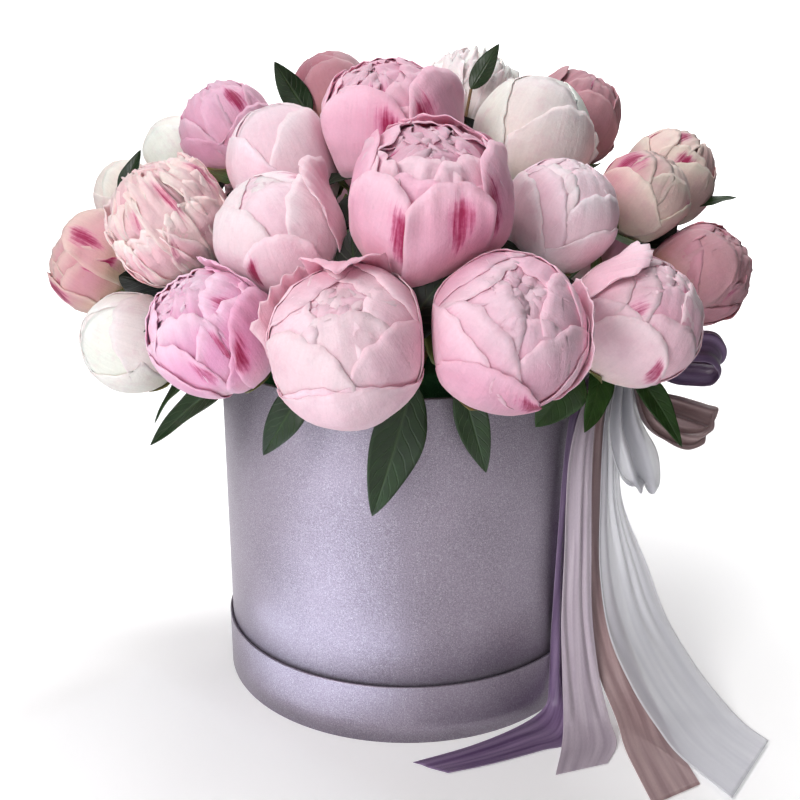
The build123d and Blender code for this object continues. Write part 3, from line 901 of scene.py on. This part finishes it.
def press_apart(points, bloom, neighbours):
    """Flattens a bloom where it is pressed against the next one."""
    for other in neighbours:
        between = other.centre - bloom.centre
        distance = np.linalg.norm(between)
        normal = between / distance
        wall = (distance ** 2 + bloom.radius ** 2 - other.radius ** 2) / (2 * distance) - 0.25 * MM
        soft = 0.16 * bloom.radius
        depth = (points - bloom.centre) @ normal
        excess = depth - (wall - soft)
        pressed = wall - soft + soft * (1 - np.exp(-np.maximum(excess, 0) / soft))
        points = points + normal * np.where(excess > 0, pressed - depth, 0)[:, None]
    return points


def tube(name, path, radii, tint, sides=14):
    """A closed round green rod along a path, with its own radius at each point."""
    tangents = np.gradient(path, axis=0)
    tangents /= np.linalg.norm(tangents, axis=1, keepdims=True)
    reference = unit(np.cross(tangents[0], [0.3, 0.5, 0.8]))
    angles = np.linspace(0, TAU, sides, endpoint=False)[:, None]
    rings = []
    for point, tangent, radius in zip(path, tangents, radii):
        first = unit(reference - tangent * (reference @ tangent))
        second = np.cross(tangent, first)
        rings.append(point + radius * (np.cos(angles) * first + np.sin(angles) * second))
    points = np.concatenate(rings + [path[:1], path[-1:]])
    count = len(path)
    start_centre, end_centre, last = count * sides, count * sides + 1, (count - 1) * sides
    faces = grid_faces(count, sides, wrap=True)
    for side in range(sides):
        following = (side + 1) % sides
        faces += [(start_centre, following, side), (end_centre, last + side, last + following)]
    uv = grid_uv(np.linspace(0.2, 0.9, sides)[None, :], np.linspace(0, 3, count)[:, None]).reshape(-1, 2)
    uv = np.vstack([uv, [[0.5, 0], [0.5, 3]]])
    return make_mesh(name, points, faces, LEAF, uv, np.tile(tint, (len(points), 1)), np.zeros(len(points)))


def make_bloom(bloom, blooms):
    """The petals of a bloom, pressed against its neighbours, and its stem."""
    number = int(bloom.node[-2:])
    kind, palette, spin, lean, flare = LOOKS.get(number) or SPARE_LOOKS[number % len(SPARE_LOOKS)]
    rng = np.random.default_rng(100 + number)
    axes = bloom_frame(bloom, lean)
    neighbours = [other for other in blooms if other is not bloom
                  and np.linalg.norm(other.centre - bloom.centre) < other.radius + bloom.radius + 3 * MM]
    lumps, hues = waves(rng, 6, 1.7), waves(rng, 5, 1.3)
    dents = waves(np.random.default_rng(500 + number), 12, 12.0 if kind == "ruffle" else 6.5)
    patches = Patches()
    for petal in petals_of(kind, rng, spin, flare) + SPECIAL_PETALS.get(number, []):
        slim = kind in ("open", "ruffle") and petal.half_width < 0.5
        shape, along, side = petal_sheet(petal, rng, *((28, 17) if slim else (22, 23)))
        patch = hues(shape)
        shape = shape * (1 + 0.03 * lumps(shape) + CREASES[kind] * dents(shape))[..., None]
        colours = petal_colours(petal, PALETTES[palette], along, side, rng, patch)
        flares = petal_flare(petal, along, side, rng)
        uv = grid_uv(side * petal.half_width * 0.5 + petal.turn * 3.1, along + rng.uniform(0, 9))
        patches.add(bloom.centre + shape * bloom.radius @ axes, PETAL_THICKNESS, uv, colours, flares)
    add_heart(patches, bloom, axes, PALETTES[palette], rng)
    piece = patches.build(bloom.node + "_petals", PETAL,
                          lambda points: press_apart(points, bloom, neighbours))
    slot = "petal_white" if palette in ("ivory", "cream", "flamed") else "petal_pink"
    finish_piece(piece, "box", slot, bloom.node)
    make_stem(bloom, rng)


def add_heart(patches, bloom, axes, palette, rng):
    """Crumpled small petals that fill the middle of a bloom under its pole."""
    for index in range(7):
        # shade=0.9 makes the heart petals darker: painted shade in the middle of the bloom
        heart = Petal(index * 360 / 7 + rng.uniform(-15, 15), rng.uniform(-14, 12), rng.uniform(26, 36),
                      layer=rng.uniform(0.79, 0.86), lift=0.03, ruffle=0.03, folds=3, base=130, shade=0.9)
        shape, along, side = petal_sheet(heart, rng, 14, 13)
        colours = petal_colours(heart, palette, along, side, rng, 0)
        points = bloom.centre + shape * bloom.radius @ axes
        patches.add(points, PETAL_THICKNESS, grid_uv(side * 0.3 + index, along), colours)


def make_stem(bloom, rng):
    """A slightly uneven stem that ends inside the foot of its bloom."""
    steps = np.linspace(0, 1, 12)
    path = bloom.stem_start + (bloom.stem_end - bloom.stem_start) * steps[:, None]
    path = path + bloom.stem_axis * 0.6 * MM * (steps[:, None] > 0.99)
    radii = bloom.stem_radius * (0.86 + 0.06 * np.sin(steps * 9 + rng.uniform(0, TAU)) + 0.08 * steps)
    stem = tube(bloom.node + "_stem", path, radii, srgb(86, 120, 60))
    finish_piece(stem, "box", "leaf")
    make_calyx(bloom, rng)


def make_calyx(bloom, rng):
    """Green sepals that hold the foot of a bloom, some of them long and leafy."""
    right = unit(np.cross(bloom.stem_axis, [0.2, 0.3, 0.9]))
    axes = np.stack([right, np.cross(bloom.stem_axis, right), bloom.stem_axis])
    patches = Patches()
    start = rng.uniform(0, 360)
    for index in range(5):
        sepal = Petal(start + index * 72 + rng.uniform(-10, 10), rng.uniform(124, 142), rng.uniform(15, 21),
                      layer=1.012, lift=0.01, curl=rng.uniform(0.0, 0.04), base=174, point=0.5, skew=0.006)
        shape, along, side = petal_sheet(sepal, rng, 12, 9)
        green = srgb(92, 128, 62) * rng.uniform(0.7, 1.0)
        share = smooth_step(0.5, 1.0, along) * rng.uniform(0.0, 0.5) + 0 * side
        colours = green + (srgb(140, 66, 48) - green) * share[..., None]
        points = bloom.centre + shape * bloom.radius @ axes
        patches.add(points, SEPAL_THICKNESS, grid_uv(side * 0.5, along), colours)
    finish_piece(patches.build(bloom.node + "_sepals", LEAF), "box", "leaf")


# ---- leaves ----
def leaf_sheet(base, tip, width, facing, rng, droop):
    """A pointed leaf: creased along its midrib, drooping, with a gently waved margin; also its UVs."""
    along_axis = unit(tip - base)
    facing = unit(facing - along_axis * (facing @ along_axis))
    across = np.cross(along_axis, facing)
    length = np.linalg.norm(tip - base)
    along = np.linspace(0, 1, 26)[:, None]
    side = np.linspace(-1, 1, 13)[None, :]
    outline = np.sin(math.pi * along ** 0.78) ** 0.82 * (1 - 0.12 * along)
    outline = np.maximum(outline, 0.03 * (1 - along) + 0.006)
    half = width / 2 * outline
    fold = 0.24 * np.abs(side) * half
    wave = 0.05 * width * np.sin(along * 10 + rng.uniform(0, TAU)) * side ** 2 * np.sign(side)
    arch = droop * length * (np.sin(math.pi * along) * 0.8)
    height = fold + wave * outline + arch
    points = base + along_axis * (along * length)[..., None] + across * (side * half)[..., None]
    return points + facing * height[..., None], grid_uv(side * 0.5, along)


def leaf_parts(node):
    """(base, tip, width, facing, foot of the petiole) of each blade in a CAD leaf node."""
    blades, rods = [], []
    for points in islands(node):
        middle = points.mean(0)
        axes = np.linalg.svd(points - middle, full_matrices=False)[2]
        extent = np.ptp((points - middle) @ axes.T, axis=0)
        (blades if extent[1] > 4 * extent[2] else rods).append((points, middle, axes, extent))
    found = []
    for points, middle, axes, extent in blades:
        reach = (points - middle) @ axes[0]
        ends = [points[reach == reach.min()].mean(0), points[reach == reach.max()].mean(0)]
        gaps = [min(np.linalg.norm(rod[0] - end, axis=1).min() for rod in rods) for end in ends]
        base, tip = ends if gaps[0] < gaps[1] else ends[::-1]
        rod = min(rods, key=lambda item: np.linalg.norm(item[0] - base, axis=1).min())
        along = (rod[0] - rod[1]) @ rod[2][0]
        rod_ends = [rod[1] + rod[2][0] * along.min(), rod[1] + rod[2][0] * along.max()]
        foot = max(rod_ends, key=lambda end: np.linalg.norm(end - base))
        facing = axes[2] if axes[2] @ np.array([base[0], base[1], 0.05]) > 0 else -axes[2]
        found.append((base, tip, extent[1], facing, foot))
    return found


def make_leaves():
    """The leaves and their petioles, which bend a little."""
    for node in ("leaves_front", "leaves_left", "leaves_right", "leaves_back", "leaves_crown"):
        for index, (base, tip, width, facing, foot) in enumerate(leaf_parts(node)):
            rng = np.random.default_rng(sum(map(ord, node)) * 10 + index)
            points, uv = leaf_sheet(base, tip, width, facing, rng, rng.uniform(0.03, 0.08))
            dark, fresh = srgb(13, 30, 14), srgb(66, 104, 44)
            share = rng.uniform(0.2, 0.7) if node == "leaves_right" else rng.uniform(0, 0.25)
            colours = np.zeros(points.shape) + dark + (fresh - dark) * share
            name = f"{node}_{index + 1}"
            leaf = one_sheet(name, points, LEAF_THICKNESS, uv, colours, LEAF)
            finish_piece(leaf, "box", "leaf", node)
            steps = np.linspace(0, 1, 9)[:, None]
            middle = (foot + base) / 2 + np.array([0, 0, 1.5 * MM])
            path = foot * (1 - steps) ** 2 + 2 * middle * steps * (1 - steps) + base * steps ** 2
            petiole = tube(name + "_petiole", path, np.linspace(1.3, 0.9, 9) * MM, srgb(120, 92, 60), 10)
            finish_piece(petiole, "box", "leaf")


def gap_shade_leaves(blooms):
    """Near-black leaves deep between every three neighbouring blooms: filler foliage that also stands in for
    the shade in the gaps, as painted shade.
    """
    rng = np.random.default_rng(21)
    patches = Patches()
    for trio in combinations(blooms, 3):
        if any(np.linalg.norm(a.centre - b.centre) >= a.radius + b.radius + GAP_REACH
               for a, b in combinations(trio, 2)):
            continue
        out = unit(sum(bloom.centre for bloom in trio) / 3 - STEM_AIM)
        reach = np.mean([np.linalg.norm(bloom.centre - STEM_AIM) for bloom in trio])
        middle = STEM_AIM + out * (reach - 0.42 * np.mean([bloom.radius for bloom in trio]))
        along = unit(np.cross(out, rng.normal(size=3)) + 0.35 * out)
        length, width = rng.uniform(44, 56) * MM, rng.uniform(20, 27) * MM
        base, tip = middle - along * length / 2, middle + along * length / 2
        points, uv = leaf_sheet(base, tip, width, out, rng, rng.uniform(0.05, 0.12))
        # near-black green, darker than the other leaves: painted shade in the gaps between blooms
        colours = np.zeros(points.shape) + srgb(16, 32, 18) * rng.uniform(0.7, 1.5)
        patches.add(points, LEAF_THICKNESS, uv, colours)
    finish_piece(patches.build("gap_shade_leaves", LEAF), "box", "leaf")


# ---- ribbons ----
# By ribbon, its flat width in millimetres and its lengths: how many folds run along each one, and the two
# points, one on each edge, of its stations from the knot on (x, y, z of the left, then of the right edge).
RIBBONS = {
    "ribbon_purple": (26, {
        "loop": (1.5, [
            (124, -51, 204, 126, -45, 209), (146, -54, 201, 150, -43, 212), (158, -54, 201, 164, -38, 215),
            (168, -50, 199, 175, -34, 213), (175, -44, 191, 182, -29, 205), (173, -39, 184, 181, -25, 197),
            (163, -37, 183, 171, -23, 198), (149, -40, 186, 155, -27, 199), (127, -46, 199, 128, -43, 203),
        ]),
        "back_loop": (1.5, [
            (120, -40, 207, 125, -41, 204), (124, -20, 206, 142, -16, 195), (124, 2, 204, 143, 8, 192),
            (121, 7, 194, 140, 13, 182), (117, -6, 191, 134, -1, 178), (116, -24, 196, 127, -22, 187),
            (117, -39, 201, 122, -39, 197),
        ]),
        "tail": (1.5, [
            (106, -50, 199, 108, -54, 194), (91, -68, 180, 98, -63, 178), (86, -74, 150, 95, -64, 150),
            (84, -76, 100, 93, -65, 100), (84, -76, 50, 94, -66, 50), (83, -78, 22, 96, -72, 22),
            (81, -81, 6, 97, -86, 9), (74, -87, 0.8, 90, -111, 0.8), (58, -101, 0.8, 74, -119, 0.8),
            (34, -116, 0.8, 46, -131, 0.8), (4, -130, 0.8, 22, -139, 0.8),
        ]),
    }),
    "ribbon_lilac": (27, {
        "loop": (2.5, [
            (111, -40, 206, 115, -38, 207), (113, -18, 207, 121, -5, 207), (113, 0, 202, 122, 16, 202),
            (113, 4, 192, 122, 20, 192), (113, -10, 184, 118, 0, 182), (112, -38, 199, 114, -38, 196),
        ]),
        "tail": (2.5, [
            (105, -56, 198, 110, -57, 195), (93, -73, 178, 103, -70, 178), (87, -79, 150, 101, -75, 150),
            (87, -80, 100, 103, -76, 100), (87, -82, 60, 105, -78, 60), (88, -90, 27, 109, -87, 27),
            (87, -105, 9, 113, -100, 9), (84, -119, 1.6, 115, -114, 1.6), (78, -140, 0.8, 107, -130, 0.8),
        ]),
    }),
    "ribbon_rose": (27, {
        "loop": (1.5, [
            (123, -56, 194, 126, -54, 198), (131, -66, 169, 136, -60, 174), (143, -69, 159, 153, -58, 165),
            (155, -66, 154, 170, -50, 163), (167, -55, 155, 178, -42, 170), (162, -45, 157, 172, -38, 172),
            (149, -43, 162, 158, -36, 176), (135, -46, 173, 140, -42, 182), (121, -51, 190, 123, -49, 193),
        ]),
        "back_loop": (1.5, [
            (117, -40, 196, 122, -42, 195), (121, -16, 180, 137, -20, 187), (122, 4, 165, 142, 2, 174),
            (120, 0, 153, 139, -2, 161), (117, -16, 160, 131, -21, 165), (114, -42, 193, 119, -43, 192),
        ]),
        "tail": (2.5, [
            (112, -54, 194, 117, -53, 193), (103, -64, 172, 111, -60, 172), (101, -65, 140, 113, -60, 140),
            (101, -66, 100, 115, -60, 100), (104, -71, 62, 121, -64, 62), (109, -81, 28, 134, -76, 26),
            (117, -101, 8, 143, -92, 8), (119, -121, 0.8, 147, -109, 0.8), (123, -163, 0.8, 151, -147, 0.8),
        ]),
    }),
    "ribbon_organza": (46, {
        "loop": (2.0, [
            (115, -61, 198, 121, -59, 199), (109, -74, 172, 126, -70, 174), (111, -79, 155, 136, -71, 156),
            (118, -76, 140, 141, -65, 139), (127, -65, 131, 142, -58, 130), (126, -56, 138, 140, -50, 137),
            (119, -56, 160, 132, -50, 162), (118, -52, 182, 124, -49, 184), (120, -47, 193, 123, -46, 194),
        ]),
        "tail": (4.5, [
            (111, -61, 190, 118, -58, 190), (107, -68, 165, 118, -63, 165), (107, -71, 125, 121, -64, 125),
            (109, -73, 84, 138, -59, 84), (115, -78, 48, 153, -58, 48), (127, -92, 22, 170, -68, 21),
            (138, -110, 8, 184, -84, 6), (146, -128, 3, 191, -98, 2.4), (163, -160, 2.4, 198, -112, 2.4),
        ]),
    }),
}
# how full the folds are, tried in turn until the sheet has LEAST_SHARE of its flat area
FULLNESSES = (0.65, 0.85, 1.05, 1.3, 1.6, 2.0)


def smooth_line(points, count):
    """A Catmull-Rom curve through the points, sampled evenly between them."""
    points = np.asarray(points, float)
    padded = np.vstack([2 * points[0] - points[1], points, 2 * points[-1] - points[-2]])
    steps = np.linspace(0, len(points) - 1, count)
    index = np.minimum(steps.astype(int), len(points) - 2)
    t = (steps - index)[:, None]
    a, b, c, d = (padded[index + k] for k in range(4))
    return 0.5 * (2 * b + (c - a) * t + (2 * a - 5 * b + 4 * c - d) * t ** 2
                  + (3 * b - a - 3 * c + d) * t ** 3)


def ribbon_sheet(stations, flat_width, folds, fullness, rng):
    """Points, UVs and length of a ribbon gathered into lengthwise folds, which flatten out on the table."""
    edges = np.array(stations, float).reshape(-1, 2, 3) * MM
    rows = 10 * len(edges)
    left, right = smooth_line(edges[:, 0], rows), smooth_line(edges[:, 1], rows)
    middle = (left + right) / 2
    chord = np.linalg.norm(right - left, axis=1)
    across = (right - left) / chord[:, None]
    normal = np.cross(np.gradient(middle, axis=0), across)
    normal /= np.linalg.norm(normal, axis=1, keepdims=True)
    length = np.concatenate([[0], np.cumsum(np.linalg.norm(np.diff(middle, axis=0), axis=1))])
    side = np.linspace(0, 1, 65)[None, :]
    slack = np.maximum((flat_width / chord) ** 2 - 1, 0.004)
    depth = fullness * np.minimum(chord / (TAU * folds) * np.sqrt(2 * slack), FOLD_LIMIT)
    resting = smooth_step(3 * MM, 12 * MM, middle[:, 2])
    depth = depth * (0.12 + 0.88 * resting)
    phase = rng.uniform(0, TAU) + 0.7 * np.sin(length * 22)[:, None]
    drift = side + 0.07 * np.sin(side * 7 + phase) + 0.03 * np.sin(length * 40 + 3)[:, None]
    strength = 0.75 + 0.35 * np.sin(side * 11 + phase * 1.7)
    profile = np.sin(drift * math.pi * 2 * folds + phase) * strength * (0.5 + 0.5 * np.sin(math.pi * side))
    points = left[:, None] + across[:, None] * (side * chord[:, None])[..., None]
    points = points + normal[:, None] * (profile * depth[:, None])[..., None]
    points[..., 2] = np.maximum(points[..., 2], TABLE_CLEARANCE)
    return points, grid_uv(side, length[:, None] / flat_width), length[-1]


def make_ribbons():
    """Every loop and tail of the bow, gathered until it takes up the width of its ribbon."""
    for node, (width, lengths) in RIBBONS.items():
        for part, (folds, stations) in lengths.items():
            for fullness in FULLNESSES:
                rng = np.random.default_rng(sum(map(ord, node + part)))
                points, uv, length = ribbon_sheet(stations, width * MM, folds, fullness, rng)
                if surface_area(points) > LEAST_SHARE * width * MM * length:
                    break
            white = np.ones(points.shape)
            piece = one_sheet(f"{node}_{part}", points, RIBBON_THICKNESS, uv, white, SATINS[node])
            finish_piece(piece, "box", RIBBON_SLOTS[node], node)


def surface_area(points):
    """Area of a grid of points, cut into triangles."""
    a = np.cross(points[1:, :-1] - points[:-1, :-1], points[:-1, 1:] - points[:-1, :-1])
    b = np.cross(points[1:, :-1] - points[1:, 1:], points[:-1, 1:] - points[1:, 1:])
    return (np.linalg.norm(a, axis=2).sum() + np.linalg.norm(b, axis=2).sum()) / 2


def make_knot():
    """Four ribbons wound tightly round each other into a ball of bands."""
    low, high = (np.array(corner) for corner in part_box("bow_knot"))
    centre, radius = (low + high) / 2, (high[0] - low[0]) / 2
    rng = np.random.default_rng(7)
    bands = [
        ("ribbon_lilac", (0.3, -0.2, 1.0), 0.0),
        ("ribbon_purple", (1.0, 0.4, 0.2), 0.5),
        ("ribbon_rose", (-0.4, 1.0, 0.5), 1.1),
        ("ribbon_organza", (0.6, -0.9, 0.3), 1.9),
    ]
    side = np.linspace(-1, 1, 15)[None, :]
    for index, (ribbon, axis, turn) in enumerate(bands):
        axis = unit(axis)
        first = unit(np.cross(axis, [0.1, 0.2, 0.9]))
        second = np.cross(axis, first)
        angles = np.linspace(0, TAU, 61)[:, None] + turn
        bulge = radius * (0.84 + 0.03 * index) * (1 + 0.03 * np.sin(angles * 5 + rng.uniform(0, TAU)))
        ridge = 1 + 0.05 * np.sin(side * 7 + rng.uniform(0, TAU))
        reach = bulge * ridge * np.sqrt(np.maximum(1 - (side * 0.62) ** 2, 0.1))
        points = centre + first * (reach * np.cos(angles))[..., None]
        points = points + second * (reach * np.sin(angles))[..., None]
        points = points + axis * (side * radius * 0.6)[..., None]
        uv = grid_uv(side * 0.5 + 0.5, angles)
        name, white = f"bow_knot_band_{index + 1}", np.ones(points.shape)
        band = one_sheet(name, points, BAND_THICKNESS, uv, white, SATINS[ribbon])
        finish_piece(band, "box", RIBBON_SLOTS[ribbon], "bow_knot")


# ---- floor, light and camera ----
FLAG_LOW, FLAG_HIGH = 0.08, 1.1
# name, place, target, size, power, colour, spread in degrees
LIGHTS = [
    ("key", (-0.9, -1.25, 1.05), (0, 0, 0.2), 0.75, 19.0, (1.0, 0.99, 0.98), 180),
    ("strip", (-0.95, -0.6, 0.2), (0, 0, 0.1), 0.25, 0.2, (0.86, 0.91, 1.0), 180),
    ("low", (-0.8, -1.02, 0.12), (-0.02, 0, 0.05), 0.2, 0.02, (0.82, 0.88, 1.0), 12),
    ("front", (-0.1, -1.7, 0.9), (0, 0, 0.25), 1.0, 3.2, (1.0, 1.0, 1.0), 180),
    ("top", (-0.25, 0.1, 1.7), (0, 0, 0.2), 0.9, 8.0, (1.0, 1.0, 1.0), 180),
    ("wall", (0.6, 1.4, 2.2), (0.3, 3.3, 0.2), 1.2, 110.0, (1.0, 1.0, 1.0), 180),
]
# the sky on either side: (direction from -1 at the left to 1 at the right, strength there)
SKY_LEFT, SKY_RIGHT = (-0.8, 0.14), (0.6, 0.04)
CAMERA_PLACE = (0.0, -0.5845, 0.3273)
CAMERA_PITCH, CAMERA_YAW = math.radians(-15.63), math.radians(-0.365)
CAMERA_LENS = 44.66


def stage_material(name, scale, socket, dark, light, roughness, specular=0.5):
    """A faintly uneven studio surface."""
    m = Material(name, roughness=roughness, specular=specular)
    m.feed(socket, m.mix(m.range(m.noise(m.place(), scale, 2.0)), dark, light))
    return m


def make_stage():
    """A pale floor that sweeps up into a wall far behind the box."""
    m = stage_material("floor", 300.0, "Base Color", (0.9, 0.9, 0.905), (0.94, 0.94, 0.94), 0.8, 0.15)
    m.set("Emission Color", (1.0, 1.0, 1.0, 1.0))
    m.set("Emission Strength", 0.2)
    bend = 1.5
    profile = [(-3.0, 0.0), (2.0, 0.0)]
    profile += [(2.0 + bend * math.sin(angle), bend - bend * math.cos(angle))
                for angle in np.linspace(0, math.pi / 2, 25)[1:]]
    profile += [(3.5, 4.0)]
    points = [(x, y, z) for y, z in profile for x in (-5.0, 5.0)]
    faces = [tuple(reversed(face)) for face in grid_faces(len(profile), 2)]
    floor = make_mesh("floor", points, faces, m.material)
    make_flags()
    make_reflector()


def make_flags():
    """Dark cloth flags that the camera doesn't see: they keep stray light off the flanks of the box."""
    m = stage_material("flag", 200.0, "Base Color", (0.015, 0.015, 0.017), (0.03, 0.03, 0.032), 0.95, 0.1)
    lines = {
        "flag_left": [(-0.5, 0.12), (-0.7, 0.6), (-1.15, 1.6)],
        "flag_right": [(0.5, -0.6), (0.48, 0.25), (0.72, 0.7), (1.15, 1.6)],
        "inner_left": [(-0.3, -0.08), (-0.28, 0.25), (-0.1, 0.42)],
        "inner_right": [(0.36, -0.42), (0.28, -0.1), (0.28, 0.25), (0.1, 0.42)],
    }
    for name, line in lines.items():
        points = [(x, y, z) for x, y in line for z in (FLAG_LOW, FLAG_HIGH)]
        flag = make_mesh(name, points, grid_faces(len(line), 2), m.material, smooth=False)
        flag.visible_camera = flag.visible_shadow = False


def make_reflector():
    """A bright card in front of the box on the left that only shows in the gloss of its paper."""
    m = stage_material("reflector", 4.0, "Emission Color", (0.74, 0.85, 1.0), (0.84, 0.92, 1.0), 0.8)
    m.set("Emission Strength", 2.2)
    heading = math.radians(-38)
    ahead = np.array([math.sin(heading), -math.cos(heading), 0.0])
    beside = np.array([ahead[1], -ahead[0], 0.0])
    points = [ahead * reach + beside * side + np.array([0, 0, 0.004])
              for reach in (0.125, 0.5) for side in (-0.11, 0.11)]
    card = make_mesh("reflector", points, grid_faces(2, 2), m.material, smooth=False)
    card.visible_camera = card.visible_diffuse = card.visible_shadow = False


def area_light(name, place, target, size, power, colour, spread):
    """A round lamp that points at its target."""
    light = bpy.data.lights.new(name, "AREA")
    light.shape = "DISK"
    light.size = size
    light.spread = math.radians(spread)
    light.energy = power
    light.color = colour
    lamp = bpy.data.objects.new(name, light)
    lamp.location = place
    lamp.rotation_euler = (Vector(target) - Vector(place)).to_track_quat("-Z", "Y").to_euler()
    bpy.context.scene.collection.objects.link(lamp)


def make_lights():
    """A large soft key from the left and front, a dim right side, and a lamp for the wall behind."""
    world = bpy.data.worlds.new("studio")
    world.use_nodes = True
    tree = world.node_tree
    split = tree.nodes.new("ShaderNodeSeparateXYZ")
    tree.links.new(tree.nodes.new("ShaderNodeTexCoord").outputs["Generated"], split.inputs[0])
    ramp = tree.nodes.new("ShaderNodeMapRange")
    tree.links.new(split.outputs[0], ramp.inputs[0])
    for index, value in enumerate((SKY_LEFT[0], SKY_RIGHT[0], SKY_LEFT[1], SKY_RIGHT[1]), 1):
        ramp.inputs[index].default_value = value
    background = tree.nodes["Background"]
    background.inputs["Color"].default_value = (1.0, 1.0, 1.0, 1.0)
    tree.links.new(ramp.outputs[0], background.inputs["Strength"])
    bpy.context.scene.world = world
    for settings in LIGHTS:
        area_light(*settings)


def make_camera():
    """The camera of the photo."""
    data = bpy.data.cameras.new("camera")
    data.lens = CAMERA_LENS
    data.sensor_width = 36.0
    data.clip_start = 0.01
    camera = bpy.data.objects.new("camera", data)
    camera.location = CAMERA_PLACE
    flat = math.cos(CAMERA_PITCH)
    heading = (math.sin(CAMERA_YAW) * flat, math.cos(CAMERA_YAW) * flat, math.sin(CAMERA_PITCH))
    camera.rotation_euler = Vector(heading).to_track_quat("-Z", "Y").to_euler()
    bpy.context.scene.collection.objects.link(camera)
    bpy.context.scene.camera = camera


# ---- the whole scene ----
plain_cad_materials()
paper_covers()
wall_seam()
foam_blocks()
blooms = [Bloom(name) for name in sorted(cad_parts) if name.startswith("peony_")]
for bloom in blooms:
    make_bloom(bloom, blooms)
make_leaves()
gap_shade_leaves(blooms)
make_ribbons()
make_knot()
make_stage()
make_lights()
make_camera()
bpy.context.scene.view_settings.view_transform = "Standard"
